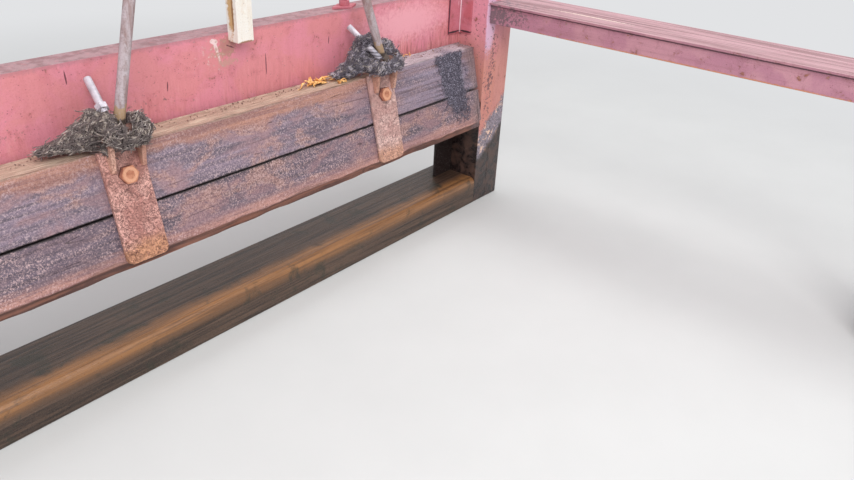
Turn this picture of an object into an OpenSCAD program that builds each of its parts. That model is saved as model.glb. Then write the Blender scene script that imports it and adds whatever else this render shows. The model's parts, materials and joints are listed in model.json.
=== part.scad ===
// Timber sluice gate hung from a steel frame, in millimetres.
// Origin: centre of the sill's underside. +X along the gate, +Y downstream, +Z up.

/* [Opening] */
// Clear width between the two posts
opening_w = 2244; // [2000:1:2600]
// Height of the timber sill
sill_h = 120; // [90:1:180]
// Width of the sill along the water's way
sill_d = 230; // [190:1:230]
// Radius of the sill's worn upstream edge
sill_round = 25; // [10:1:40]
// Height of the gate leaf's lower edge above the sill, as it hangs
leaf_raise = 264; // [200:1:300]

/* [Posts] */
// Width of a post channel's web
post_d = 230; // [200:1:260]
// Width of a post channel's flanges
post_flange_w = 90; // [70:1:110]
// Thickness of a post channel's web
post_web_t = 8; // [6:1:12]
// Thickness of a post channel's flanges
post_flange_t = 14; // [10:1:16]
// Leg of the corner angle beside a post
angle_leg_w = 90; // [60:1:100]
// Thickness of the corner angle
angle_t = 10; // [8:1:12]
// Root radius of the rolled channels
root_r = 9; // [4:1:12]

/* [Breast beam] */
// Depth of the breast beam's web
breast_h = 380; // [340:1:420]
// Width of the breast beam's flanges
breast_flange_w = 90; // [75:1:90]
// Thickness of the breast beam's web
breast_web_t = 10; // [8:1:14]
// Thickness of the breast beam's flanges
breast_flange_t = 18; // [12:1:20]
// Distance from the posts' upstream edge to the breast beam's face
breast_set = 140; // [132:1:150]
// Height of the breast beam's underside above the sill
breast_over_sill = 437; // [420:1:460]

/* [Guides and uprights] */
// Width of a guide bar
guide_w = 118; // [90:1:140]
// Thickness of a guide bar
guide_t = 12; // [8:1:20]
// Width of an upright angle's leg along the breast beam
upright_w = 88; // [70:1:120]
// Depth of an upright angle's leg along the post
upright_d = 60; // [40:1:70]
// Thickness of an upright angle
upright_t = 8; // [6:1:10]
// Root radius of an upright angle
upright_root_r = 8; // [4:1:12]
// Length of an upright's foot that laps down over the breast beam
upright_lap = 177; // [120:1:180]
// Side of the square centre post
centre_post_w = 60; // [50:1:80]
// Depth of the centre post
centre_post_d = 50; // [40:1:60]
// Wall of the centre post
centre_post_t = 5; // [3:0.5:8]
// Offset of the centre post from the middle of the gate
centre_post_x = -45; // [-50:1:0]
// Length of the centre post's foot that laps down over the breast beam
centre_post_lap = 27; // [20:1:60]

/* [Stay] */
// Diameter of the stay rod
stay_rod_d = 22; // [16:1:24]
// Distance of the stay rod from the middle of the gate
stay_x = 462; // [350:1:600]
// Distance of the stay rod behind the breast beam's face
stay_set = 34; // [30:1:40]
// Length of the stay's diamond base plate
stay_plate_l = 120; // [90:1:160]
// Width of the stay's diamond base plate
stay_plate_w = 70; // [60:1:72]
// Thickness of the stay's base plate
stay_plate_t = 8; // [6:1:12]
// Width across the flats of the nut at the stay's foot
stay_nut_af = 34; // [28:1:38]
// Height of the nut at the stay's foot
stay_nut_h = 18; // [12:1:24]

/* [Head beam] */
// Height of the head beam's top above the sill's underside
head_top = 2575; // [2400:1:2800]
// Width of the head beam's web
head_d = 260; // [254:1:300]
// Depth of the head beam's flanges
head_flange_w = 75; // [60:1:90]
// Thickness of the head beam's web
head_web_t = 8; // [6:1:10]
// Thickness of the head beam's flanges
head_flange_t = 12; // [8:1:14]
// Distance of the lifting screw upstream of the head beam's middle
screw_set = 72; // [68:1:74]

/* [Leaf] */
// Gap between the leaf's ends and the posts
leaf_end_gap = 22; // [8:1:40]
// Thickness of the leaf's planks
leaf_t = 80; // [60:1:90]
// Height of the upper plank's face
upper_plank_h = 178; // [150:1:200]
// Height of the lower plank's face
lower_plank_h = 168; // [140:1:180]
// Lean of the hanging leaf, top edge downstream
leaf_lean = 13.5; // [10:0.5:16]
// Chamfer of the planks' meeting edges
seam_chamfer = 7; // [3:1:12]
// Height of the worn band along the leaf's lower edge
lip_h = 30; // [15:1:40]
// Depth of the worn band
lip_t = 12; // [5:1:20]
// Gap between the upright leaf and the guides
guide_gap = 5; // [5:0.5:8]

/* [Straps and brackets] */
// Half the distance between the two straps
strap_x = 518; // [400:1:620]
// Offset of the two straps from the middle of the leaf
strap_shift = -17; // [-40:1:40]
// Width of a strap
strap_w = 130; // [126:1:160]
// Thickness of a strap
strap_t = 12; // [8:1:14]
// Length of a strap down the leaf
strap_l = 326; // [290:1:330]
// Corner radius at a strap's foot
strap_r = 20; // [10:1:40]
// Diameter of a strap bolt
bolt_d = 30; // [24:1:33]
// Width across the flats of a bolt's head and nut
bolt_af = 46; // [40:1:50]
// Height of a bolt's head
bolt_head_h = 19; // [15:1:22]
// Height of a strap bolt's nut
bolt_nut_h = 24; // [18:1:26]
// Distance of a strap bolt's end inside the leaf's back
bolt_short = 4; // [1:1:8]
// Distance of a strap bolt below the leaf's top edge
bolt_drop = 78; // [70:1:100]
// Diameter of a strap bolt's washer
washer_d = 68; // [60:1:76]
// Thickness of a strap bolt's washer
washer_t = 4; // [3:1:6]
// Clearance round a washer in its pocket
pocket_gap = 3; // [2:1:6]
// Depth of the pocket that sinks the nut in the leaf's back
nut_pocket = 40; // [38:1:44]
// Thickness of a bracket's cheek
cheek_t = 13; // [10:1:16]
// Clear gap between a bracket's cheeks
cheek_gap = 78; // [72:1:84]
// Length of a cheek's foot down the strap
cheek_foot = 66; // [54:1:80]
// Depth of a cheek's foot out from the strap
cheek_foot_d = 12; // [6:1:16]
// Offset of a bracket from the middle of its strap
bracket_shift = 7; // [-8:1:8]
// Radius of a cheek's eye
cheek_r = 25; // [22:1:28]
// Diameter of a hanger pin
pin_d = 26; // [20:1:28]
// Rim of a pin's head beyond the pin
pin_head_rim = 7; // [4:1:9]
// Height of a pin's head
pin_head_h = 10; // [6:1:14]
// Length of a pin's plain end beyond its bracket
pin_tail = 15; // [8:1:24]
// Diameter of a galvanised stud
stud_d = 21; // [16:1:24]
// Angle of a hanging stud above the level
stud_rise = 38; // [30:1:45]
// Length of the left stud
stud_left_l = 178; // [150:1:184]
// Length of the left stud upstream of its cheek
stud_left_tail = 25; // [10:1:35]
// Offset of the left stud from the middle of its cheek
stud_left_x = 5.5; // [-6:0.5:6]
// Turn of the left stud towards the right
stud_left_turn = 7; // [0:1:10]
// Distance of the left stud's nut from the hanger pin
stud_nut_at = 58; // [50:1:80]
// Width across the flats of the left stud's nut
stud_nut_af = 30; // [26:1:32]
// Height of the left stud's nut
stud_nut_h = 16; // [12:1:20]
// Length of the right stud
stud_right_l = 158; // [140:1:170]
// Length of the right stud upstream of its cheek
stud_right_tail = 10; // [5:1:30]
// Offset of the right stud from the middle of its cheek
stud_right_x = -12; // [-13:0.5:-6]
// Turn of the right stud towards the right
stud_right_turn = -12; // [-20:1:-10]
// Distance of the hanger pins out from the planks' face
pin_proud = 38; // [36:1:42]
// Distance of the hanger pins above the leaf's top edge
pin_rise = 43; // [38:1:50]

/* [Lifting rods] */
// Diameter of a lifting rod
rod_d = 30; // [24:1:34]
// Radius of a rod's lower eye
rod_eye_r = 24; // [21:1:25]
// Thickness of a rod's eyes
rod_eye_t = 28; // [20:1:32]
// Wall of a rod's upper eye round its pin
rod_head_wall = 16; // [12:1:20]
// Offset of the rods' lower eyes from the middle of their straps
rod_eye_shift = -4; // [-5:1:20]
// Height of the lifting plate's pins above the hanger pins
rod_rise = 1300; // [1200:1:1400]
// Distance between the lifting plate's two pins
plate_pin_gap = 190; // [160:1:240]
// Diameter of the lifting plate's pins
plate_pin_d = 26; // [20:1:28]
// Thickness of the lifting plate's two sides
plate_t = 12; // [8:1:16]
// Wall of the lifting plate's sides round their pins
plate_wall = 18; // [12:1:22]
// Height of the lifting plate above its pins
plate_rise = 100; // [90:1:140]

/* [Screw and hand wheel] */
// Distance of the lifting screw from the middle of the gate
hoist_x = -113; // [-135:1:-100]
// Diameter of the lifting screw
screw_d = 36; // [30:1:42]
// Length of screw above the head beam
screw_over_head = 600; // [540:1:700]
// Diameter of the screw's bearing
bearing_d = 92; // [80:1:110]
// Diameter of the bearing's tapered foot
bearing_foot_d = 112; // [100:1:112]
// Height of the screw's bearing
bearing_h = 70; // [50:1:90]
// Side of the bearing's base plate
bearing_base = 116; // [112:1:116]
// Thickness of the bearing's base plate
bearing_base_t = 12; // [8:1:16]
// Diameter of the hand wheel
wheel_d = 480; // [400:1:560]
// Diameter of the hand wheel's rim section
wheel_rim_d = 26; // [20:1:30]
// Diameter of the hand wheel's spokes
wheel_spoke_d = 20; // [14:1:26]
// Diameter of the hand wheel's hub
wheel_hub_d = 84; // [70:1:100]
// Height of the hand wheel's hub
wheel_hub_h = 80; // [60:1:100]
// Rise of the hand wheel's rim above the middle of its hub
wheel_dish = 30; // [0:1:40]

/* [Brace] */
// Width of the brace beam's web
brace_w = 229; // [200:1:240]
// Depth of the brace beam's flanges
brace_flange_w = 76; // [60:1:90]
// Thickness of the brace beam's web
brace_web_t = 8; // [6:1:10]
// Thickness of the brace beam's flanges
brace_flange_t = 13; // [10:1:16]
// Drop of the brace beam's top below the posts' tops
brace_drop = 36; // [20:1:60]
// Length of the brace beam, upstream from the posts
brace_l = 1750; // [1400:1:2200]
// Width of the brace's own post along the beam
brace_post_d = 90; // [70:1:110]
// Thickness of the brace post's flanges
brace_post_t = 12; // [8:1:16]
// Overhang of the brace beam's top plate at each side
brace_plate_over = 13; // [8:1:24]
// Thickness of the brace beam's top plate
brace_plate_t = 8; // [6:1:12]

/* [Hidden] */
$fn = 64;

// Clearances: a tight fit, a running fit, a screw in its nut, a bolt in its hole, and a bar on its seat
fit_gap = 0.15;
run_gap = 0.08;
screw_gap = 0.3;
bolt_gap = 1;
seat_gap = 0.35;
// Clearance of the screw's hole through the head beam
screw_hole_gap = 4;
// Overrun of every cutting shape
over = 1;

// Colours
paint_red = "#a8555c";
paint_white = "#ddd9cf";
rust = "#6d4136";
timber = "#55474a";
galvanised = "#b5b5ba";
bare_steel = "#77706c";

// Frame
half_w = opening_w / 2;
breast_y = breast_set - post_d / 2;
breast_z = sill_h + breast_over_sill;
post_h = breast_z + breast_h;
head_under = head_top - head_web_t;
stay_y = breast_y + stay_set;
stay_foot_z = post_h + stay_plate_t;
upright_z = post_h - upright_lap;

// Hanger pin line, set so that the upright leaf stands guide_gap clear of the guides
leaf_w = opening_w - 2 * leaf_end_gap;
leaf_h = upper_plank_h + lower_plank_h;
pin_y = breast_y - guide_gap - leaf_t - pin_proud;
leaf_y = pin_y + pin_proud * cos(leaf_lean) - pin_rise * sin(leaf_lean);
leaf_z = sill_h + leaf_raise + leaf_h * cos(leaf_lean);
pin_z = leaf_z + pin_proud * sin(leaf_lean) + pin_rise * cos(leaf_lean);
level_rise = leaf_t * tan(leaf_lean);

// Lifting gear, in the plane of the hanger pins
head_y = pin_y + screw_set;
plate_z = pin_z + rod_rise;
plate_gap = max(rod_eye_t, rod_d) + bolt_gap;
screw_top_z = head_top + screw_over_head;
wheel_z = head_top + bearing_base_t + bearing_h;

// Brace
brace_x = half_w + brace_plate_over + brace_w / 2;
brace_top = post_h - brace_drop;
brace_web_top = brace_top - brace_plate_t;

// Point where the line from p touches a circle of radius r about c, on the given side
function touch_point(p, c, r, side) =
  let (d = norm(c - p), a = atan2(c[1] - p[1], c[0] - p[0]) + side * asin(r / d))
  p + sqrt(d * d - r * r) * [cos(a), sin(a)];

// Channel section: web of width w on the X axis, flanges of depth f reaching up +Y
module channel_section(w, f, web_t, flange_t, r) {
  difference() {
    translate([-w / 2, 0]) square([w, f]);
    translate([-w / 2 + flange_t, web_t]) square([w - 2 * flange_t, f]);
  }
  for (side = [-1, 1])
    translate([side * (w / 2 - flange_t), web_t])
      difference() {
        translate([side > 0 ? -r : 0, 0]) square(r);
        translate([-side * r, r]) circle(r = r, $fn = 32);
      }
}

// Channel of length l standing along +Z
module channel(l, w, f, web_t, flange_t, r) {
  linear_extrude(l) channel_section(w, f, web_t, flange_t, r);
}

// Place of a strap along the gate
function strap_at(side) = strap_shift + side * strap_x;

// Places children in the leaf's own frame: X along, Y into the planks, Z up the face from the top edge
module on_leaf() {
  translate([0, leaf_y, leaf_z]) rotate([-leaf_lean, 0, 0]) children();
}

// Frame pieces
module sill_beam() {
  color(timber)
    rotate([90, 0, 90])
      translate([0, 0, -half_w])
        linear_extrude(opening_w)
          difference() {
            translate([-sill_d / 2, 0]) square([sill_d, sill_h]);
            translate([-sill_d / 2, sill_h - sill_round])
              difference() {
                translate([-over, 0]) square(sill_round + over);
                translate([sill_round, 0]) circle(r = sill_round);
              }
          }
}

module post(side) {
  color(paint_red)
    mirror([side < 0 ? 1 : 0, 0, 0])
      translate([half_w, 0, 0])
        rotate([0, 0, -90])
          channel(post_h, post_d, post_flange_w, post_web_t, post_flange_t, root_r);
}
module post_left() { post(-1); }
module post_right() { post(1); }

module post_angle(side) {
  color(paint_red)
    mirror([side < 0 ? 1 : 0, 0, 0])
      translate([half_w + post_flange_w, -post_d / 2, 0])
        linear_extrude(brace_top) {
          square([angle_leg_w, angle_t]);
          translate([angle_leg_w - angle_t, 0]) square([angle_t, angle_leg_w]);
        }
}
module post_angle_left() { post_angle(-1); }
module post_angle_right() { post_angle(1); }

module breast_beam() {
  color(paint_red)
    translate([-half_w, breast_y, breast_z + breast_h / 2])
      multmatrix([[0, 0, 1, 0], [0, 1, 0, 0], [-1, 0, 0, 0]])
        channel(opening_w, breast_h, breast_flange_w, breast_web_t, breast_flange_t, root_r);
}

module guide(side) {
  x = side > 0 ? half_w - guide_w : -half_w;
  color(rust)
    translate([x, breast_y, sill_h]) cube([guide_w, guide_t, breast_over_sill]);
}
module guide_left() { guide(-1); }
module guide_right() { guide(1); }

// Upright: angle with one leg on the breast beam's face and one on the post's web
module upright(side) {
  color(paint_red)
    mirror([side < 0 ? 1 : 0, 0, 0])
      translate([half_w, breast_y, upright_z])
        rotate([0, 0, 180])
          linear_extrude(head_under - upright_z) {
            square([upright_w, upright_t]);
            square([upright_t, upright_d]);
            translate([upright_t, upright_t])
              difference() {
                square(upright_root_r);
                translate([upright_root_r, upright_root_r]) circle(r = upright_root_r, $fn = 32);
              }
          }
}
module upright_left() { upright(-1); }
module upright_right() { upright(1); }

module centre_post() {
  foot_z = post_h - centre_post_lap;
  inner = [centre_post_w - 2 * centre_post_t, centre_post_d - 2 * centre_post_t];
  color(paint_white)
    translate([centre_post_x, breast_y - centre_post_d / 2, foot_z])
      linear_extrude(head_under - foot_z)
        difference() {
          square([centre_post_w, centre_post_d], center = true);
          square(inner, center = true);
        }
}

// Stay: diamond base plate on the breast beam, round rod up to the head beam, and a nut round its foot
module stay_base_right() {
  color(paint_red)
    translate([stay_x, stay_y, post_h])
      linear_extrude(stay_plate_t)
        polygon([
          [-stay_plate_l / 2, 0], [0, -stay_plate_w / 2], [stay_plate_l / 2, 0], [0, stay_plate_w / 2]
        ]);
}

module stay_rod_right() {
  color(paint_red)
    translate([stay_x, stay_y, stay_foot_z]) cylinder(d = stay_rod_d, h = head_under - stay_foot_z);
}

module stay_nut_right() {
  color(paint_red)
    translate([stay_x, stay_y, stay_foot_z])
      difference() {
        cylinder(d = stay_nut_af / cos(30), h = stay_nut_h, $fn = 6);
        translate([0, 0, -over]) cylinder(r = stay_rod_d / 2 + fit_gap, h = stay_nut_h + 2 * over);
      }
}

module head_beam() {
  color(paint_red)
    difference() {
      translate([-half_w, head_y, head_top])
        rotate([90, 180, 90])
          channel(opening_w, head_d, head_flange_w, head_web_t, head_flange_t, root_r);
      translate([hoist_x, pin_y, head_under - over])
        cylinder(r = screw_d / 2 + screw_hole_gap, h = head_web_t + 2 * over);
    }
}

// Screw bearing: square base plate and a tapered boss with the screw's way through it
module screw_bearing() {
  color(bare_steel)
    translate([hoist_x, pin_y, head_top])
      difference() {
        union() {
          translate([-bearing_base / 2, -bearing_base / 2, 0])
            cube([bearing_base, bearing_base, bearing_base_t]);
          translate([0, 0, bearing_base_t])
            cylinder(d1 = bearing_foot_d, d2 = bearing_d, h = bearing_h / 2);
          translate([0, 0, bearing_base_t + bearing_h / 2]) cylinder(d = bearing_d, h = bearing_h / 2);
        }
        translate([0, 0, -over])
          cylinder(r = screw_d / 2 + screw_gap, h = bearing_base_t + bearing_h + 2 * over);
      }
}

// Hand wheel: hub with the nut's bore, four dished spokes and a round rim
module hand_wheel() {
  rim_r = (wheel_d - wheel_rim_d) / 2;
  spoke_from = (screw_d + wheel_hub_d) / 4;
  spoke_run = rim_r - spoke_from;
  spoke_z = wheel_hub_h / 2;
  spoke_l = norm([spoke_run, wheel_dish]);
  color(rust)
    translate([hoist_x, pin_y, wheel_z]) {
      difference() {
        union() {
          cylinder(d = wheel_hub_d, h = wheel_hub_h);
          for (turn = [0:90:270])
            rotate([0, 0, turn])
              translate([spoke_from, 0, spoke_z])
                rotate([0, 90 - atan2(wheel_dish, spoke_run), 0])
                  cylinder(d = wheel_spoke_d, h = spoke_l);
        }
        translate([0, 0, -over]) cylinder(r = screw_d / 2 + screw_gap, h = wheel_hub_h + 2 * over);
      }
      translate([0, 0, spoke_z + wheel_dish])
        rotate_extrude() translate([rim_r, 0]) circle(d = wheel_rim_d, $fn = 32);
    }
}

module brace_beam() {
  color(paint_red)
    translate([brace_x, -post_d / 2 - brace_l, brace_web_top])
      rotate([-90, 0, 0])
        channel(brace_l, brace_w, brace_flange_w, brace_web_t, brace_flange_t, root_r);
}

module brace_plate() {
  plate_w = brace_w + 2 * brace_plate_over;
  color(paint_red)
    translate([brace_x - plate_w / 2, -post_d / 2 - brace_l, brace_web_top])
      cube([plate_w, brace_l, brace_plate_t]);
}

module brace_post() {
  inner_w = brace_w - 2 * (brace_flange_t + root_r);
  color(paint_red)
    translate([brace_x, -post_d / 2 - brace_l + brace_post_d, 0])
      rotate([0, 0, 180])
        channel(brace_web_top - brace_web_t, inner_w, brace_post_d, brace_web_t, brace_post_t, root_r);
}

// Lifting rods: forged lower eye on the hanger pin, long shank, upper eye in the lifting plate
function rod_foot(side) = [strap_at(side) + rod_eye_shift, pin_y, pin_z];
function rod_head(side) = [hoist_x + side * plate_pin_gap / 2, pin_y, plate_z];

module rod(side) {
  foot = rod_foot(side);
  head = rod_head(side);
  run = head - foot;
  lean = atan2(run[0], run[2]);
  upper_r = plate_pin_d / 2 + rod_head_wall;
  color(bare_steel)
    difference() {
      union() {
        translate(foot) rotate([0, 90, 0]) cylinder(r = rod_eye_r, h = rod_eye_t, center = true);
        translate(foot) rotate([0, lean, 0]) translate([0, 0, rod_eye_r / 2])
          cylinder(d1 = rod_eye_t, d2 = rod_d, h = 2 * rod_eye_r);
        translate(foot) rotate([0, lean, 0]) translate([0, 0, rod_eye_r])
          cylinder(d = rod_d, h = norm(run) - rod_eye_r - upper_r / 2);
        translate(head) rotate([90, 0, 0]) cylinder(r = upper_r, h = rod_eye_t, center = true);
      }
      translate(foot) rotate([0, 90, 0])
        cylinder(r = pin_d / 2 + run_gap, h = 4 * rod_eye_t, center = true);
      translate(head) rotate([90, 0, 0])
        cylinder(r = plate_pin_d / 2 + fit_gap, h = 2 * rod_eye_t, center = true);
    }
}
module rod_left() { rod(-1); }
module rod_right() { rod(1); }

// Lifting plate: two shaped sides joined by the block that carries the screw
module lifting_plate() {
  eye_r = plate_pin_d / 2 + plate_wall;
  block_h = plate_rise * 2 / 3;
  color(bare_steel)
    translate([hoist_x, pin_y, plate_z])
      difference() {
        union() {
          for (side = [-1, 1])
            translate([0, side * (plate_gap + plate_t) / 2, 0])
              rotate([90, 0, 0])
                linear_extrude(plate_t, center = true)
                  hull() {
                    for (way = [-1, 1]) translate([way * plate_pin_gap / 2, 0]) circle(r = eye_r, $fn = 32);
                    translate([-screw_d, 0]) square([2 * screw_d, plate_rise]);
                  }
          translate([-screw_d, -plate_gap / 2, plate_rise - block_h])
            cube([2 * screw_d, plate_gap, block_h]);
        }
        for (way = [-1, 1])
          translate([way * plate_pin_gap / 2, 0, 0])
            rotate([90, 0, 0])
              cylinder(r = plate_pin_d / 2 + fit_gap, h = 4 * plate_gap, center = true);
      }
}

module plate_pin(side) {
  span = plate_gap + 2 * plate_t;
  color(bare_steel)
    translate(rod_head(side))
      rotate([90, 0, 0]) {
        translate([0, 0, -span / 2 - pin_tail]) cylinder(d = plate_pin_d, h = span + pin_tail);
        translate([0, 0, span / 2]) cylinder(r = plate_pin_d / 2 + pin_head_rim, h = pin_head_h);
      }
}
module plate_pin_left() { plate_pin(-1); }
module plate_pin_right() { plate_pin(1); }

module lifting_screw() {
  foot = plate_z + plate_rise;
  color(bare_steel)
    translate([hoist_x, pin_y, foot]) cylinder(d = screw_d, h = screw_top_z - foot);
}

// Gate leaf
module upper_plank() {
  c = seam_chamfer;
  color(timber)
    on_leaf()
      difference() {
        rotate([90, 0, 90])
          linear_extrude(leaf_w, center = true)
            polygon([
              [0, 0], [leaf_t, level_rise], [leaf_t, c - upper_plank_h],
              [leaf_t - c, -upper_plank_h], [c, -upper_plank_h], [0, c - upper_plank_h]
            ]);
        for (side = [-1, 1])
          translate([strap_at(side), 0, -bolt_drop])
            rotate([-90, 0, 0]) {
              translate([0, 0, -over]) cylinder(r = bolt_d / 2 + bolt_gap, h = leaf_t + 2 * over);
              translate([0, 0, leaf_t - nut_pocket])
                cylinder(r = washer_d / 2 + pocket_gap, h = nut_pocket + over);
            }
      }
}

module lower_plank() {
  c = seam_chamfer;
  top = -upper_plank_h;
  foot = -leaf_h;
  color(timber)
    on_leaf()
      rotate([90, 0, 90])
        linear_extrude(leaf_w, center = true)
          polygon([
            [c, top], [leaf_t - c, top], [leaf_t, top - c], [leaf_t, foot + level_rise],
            [lip_t, foot + lip_t * tan(leaf_lean)], [lip_t, foot + lip_h - lip_t],
            [0, foot + lip_h], [0, top - c]
          ]);
}

module strap(side) {
  color(rust)
    on_leaf()
      translate([strap_at(side), 0, 0])
        rotate([90, 0, 0])
          difference() {
            linear_extrude(strap_t) {
              translate([-strap_w / 2, strap_r - strap_l]) square([strap_w, strap_l - strap_r]);
              translate([strap_r - strap_w / 2, -strap_l]) square([strap_w - 2 * strap_r, 2 * strap_r]);
              for (way = [-1, 1])
                translate([way * (strap_w / 2 - strap_r), strap_r - strap_l]) circle(r = strap_r);
            }
            translate([0, -bolt_drop, -over]) cylinder(r = bolt_d / 2 + bolt_gap, h = strap_t + 2 * over);
          }
}
module strap_left() { strap(-1); }
module strap_right() { strap(1); }

module strap_bolt(side) {
  corner_d = bolt_af / cos(30);
  pocket_y = leaf_t - nut_pocket;
  color(rust)
    on_leaf()
      translate([strap_at(side), 0, -bolt_drop])
        rotate([-90, 0, 0]) {
          translate([0, 0, -strap_t - bolt_head_h]) cylinder(d = corner_d, h = bolt_head_h, $fn = 6);
          translate([0, 0, -strap_t]) cylinder(d = bolt_d, h = strap_t + leaf_t - bolt_short);
          translate([0, 0, pocket_y]) cylinder(d = washer_d, h = washer_t);
          translate([0, 0, pocket_y + washer_t]) cylinder(d = corner_d, h = bolt_nut_h, $fn = 6);
        }
}
module strap_bolt_left() { strap_bolt(-1); }
module strap_bolt_right() { strap_bolt(1); }

// Bracket: two cheeks whose edges run straight off the eye onto the strap's face
module bracket(side) {
  eye = [-pin_proud, pin_rise];
  toe = [-strap_t, -cheek_foot];
  knee = [-strap_t - cheek_foot_d, -cheek_foot];
  heel = [-strap_t, 0];
  outer = touch_point(knee, eye, cheek_r, 1);
  inner = touch_point(heel, eye, cheek_r, -1);
  color(rust)
    on_leaf()
      translate([strap_at(side) + bracket_shift, 0, 0])
        difference() {
          for (way = [-1, 1])
            translate([way * (cheek_gap + cheek_t) / 2, 0, 0])
              rotate([90, 0, 90])
                linear_extrude(cheek_t, center = true) {
                  translate(eye) circle(r = cheek_r);
                  polygon([toe, knee, outer, eye, inner, heel]);
                }
          translate([0, eye[0], eye[1]])
            rotate([0, 90, 0])
              cylinder(r = pin_d / 2 + fit_gap, h = 2 * cheek_gap, center = true);
        }
}
module bracket_left() { bracket(-1); }
module bracket_right() { bracket(1); }

module hanger_pin(side) {
  span = cheek_gap + 2 * cheek_t;
  color(bare_steel)
    on_leaf()
      translate([strap_at(side) + bracket_shift, -pin_proud, pin_rise])
        rotate([0, 90, 0]) {
          translate([0, 0, -span / 2 - pin_head_h]) cylinder(r = pin_d / 2 + pin_head_rim, h = pin_head_h);
          translate([0, 0, -span / 2]) cylinder(d = pin_d, h = span + pin_tail);
        }
}
module hanger_pin_left() { hanger_pin(-1); }
module hanger_pin_right() { hanger_pin(1); }

// Stud: galvanised bar laid across the rim of a left cheek's eye, rising towards the breast beam
module stud(side, x, length, tail, turn) {
  cheek_x = strap_at(side) + bracket_shift - (cheek_gap + cheek_t) / 2;
  past_rim = max(0, abs(x) - cheek_t / 2);
  seat_h = sqrt(pow(stud_d / 2, 2) - pow(past_rim, 2));
  color(galvanised)
    on_leaf()
      translate([cheek_x + x, -pin_proud, pin_rise])
        rotate([leaf_lean + stud_rise, 0, 0])
          translate([0, 0, cheek_r + seat_gap + seat_h])
            rotate([-90, 0, -turn]) {
              translate([0, 0, -tail]) cylinder(d = stud_d, h = length);
              children();
            }
}
module stud_left() {
  stud(-1, stud_left_x, stud_left_l, stud_left_tail, stud_left_turn)
    translate([0, 0, stud_nut_at - stud_nut_h / 2])
      cylinder(d = stud_nut_af / cos(30), h = stud_nut_h, $fn = 6);
}
module stud_right() { stud(1, stud_right_x, stud_right_l, stud_right_tail, stud_right_turn); }

sill_beam();
post_left();
post_right();
post_angle_left();
post_angle_right();
breast_beam();
guide_left();
guide_right();
upright_left();
upright_right();
centre_post();
stay_rod_right();
stay_nut_right();
stay_base_right();
head_beam();
screw_bearing();
hand_wheel();
brace_beam();
brace_plate();
brace_post();
rod_left();
rod_right();
lifting_plate();
plate_pin_left();
plate_pin_right();
lifting_screw();
upper_plank();
lower_plank();
strap_left();
strap_right();
strap_bolt_left();
strap_bolt_right();
bracket_left();
bracket_right();
hanger_pin_left();
hanger_pin_right();
stud_left();
stud_right();
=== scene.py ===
"""Dresses the sluice gate: aged paint, rust, wet timber, and the twigs and weed caught on the leaf."""

import json
import logging
import math
from dataclasses import dataclass
from enum import Enum
from typing import Optional, Sequence, Union

import bmesh
import bpy
from mathutils import Matrix, Vector, noise


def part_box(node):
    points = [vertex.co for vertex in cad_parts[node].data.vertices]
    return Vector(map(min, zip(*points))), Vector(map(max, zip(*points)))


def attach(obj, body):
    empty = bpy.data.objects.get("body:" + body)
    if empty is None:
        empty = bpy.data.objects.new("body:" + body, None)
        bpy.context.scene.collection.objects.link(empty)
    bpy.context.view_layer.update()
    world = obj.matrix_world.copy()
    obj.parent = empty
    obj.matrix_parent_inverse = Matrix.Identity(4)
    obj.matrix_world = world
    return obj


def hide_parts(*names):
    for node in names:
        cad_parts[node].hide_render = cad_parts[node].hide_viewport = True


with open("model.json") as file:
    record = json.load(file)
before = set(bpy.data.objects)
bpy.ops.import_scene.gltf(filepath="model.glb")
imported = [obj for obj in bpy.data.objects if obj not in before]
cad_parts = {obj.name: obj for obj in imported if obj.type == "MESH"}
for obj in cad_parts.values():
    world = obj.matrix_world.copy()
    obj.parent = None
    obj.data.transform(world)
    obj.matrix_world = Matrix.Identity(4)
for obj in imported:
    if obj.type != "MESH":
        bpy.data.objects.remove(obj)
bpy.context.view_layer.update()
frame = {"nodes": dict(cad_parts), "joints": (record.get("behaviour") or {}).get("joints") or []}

LOG = logging.getLogger("sluice_gate")
MM = 0.001
SIDES = ("left", "right")

Colour = tuple[int, int, int]
Triple = Sequence[float]
Value = Union[float, "Field"]
Shade = Union[Colour, "Field"]
Finish = bpy.types.Material
Piece = bpy.types.Object
Mesh = bpy.types.Mesh
Node = bpy.types.Node
Socket = bpy.types.NodeSocket
Geometry = Union[Node, Socket]


class Body(Enum):
    """The moving bodies that carry added pieces."""

    HOIST = "hoist"
    LEAF = "leaf"


class Slot(Enum):
    """Names of two of the record's material slots, which nothing here uses."""

    BARE = "bare_steel"
    LEAF = "leaf_timber"


def tint(red: int, green: int, blue: int) -> tuple[float, ...]:
    """Turns an 8-bit display colour into a linear one.

    Args:
        red: Red, 0 to 255.
        green: Green, 0 to 255.
        blue: Blue, 0 to 255.

    Returns:
        The linear colour.
    """
    shares = (red / 255, green / 255, blue / 255)
    return tuple(s / 12.92 if s < 0.04045 else ((s + 0.055) / 1.055) ** 2.4 for s in shares)


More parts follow.
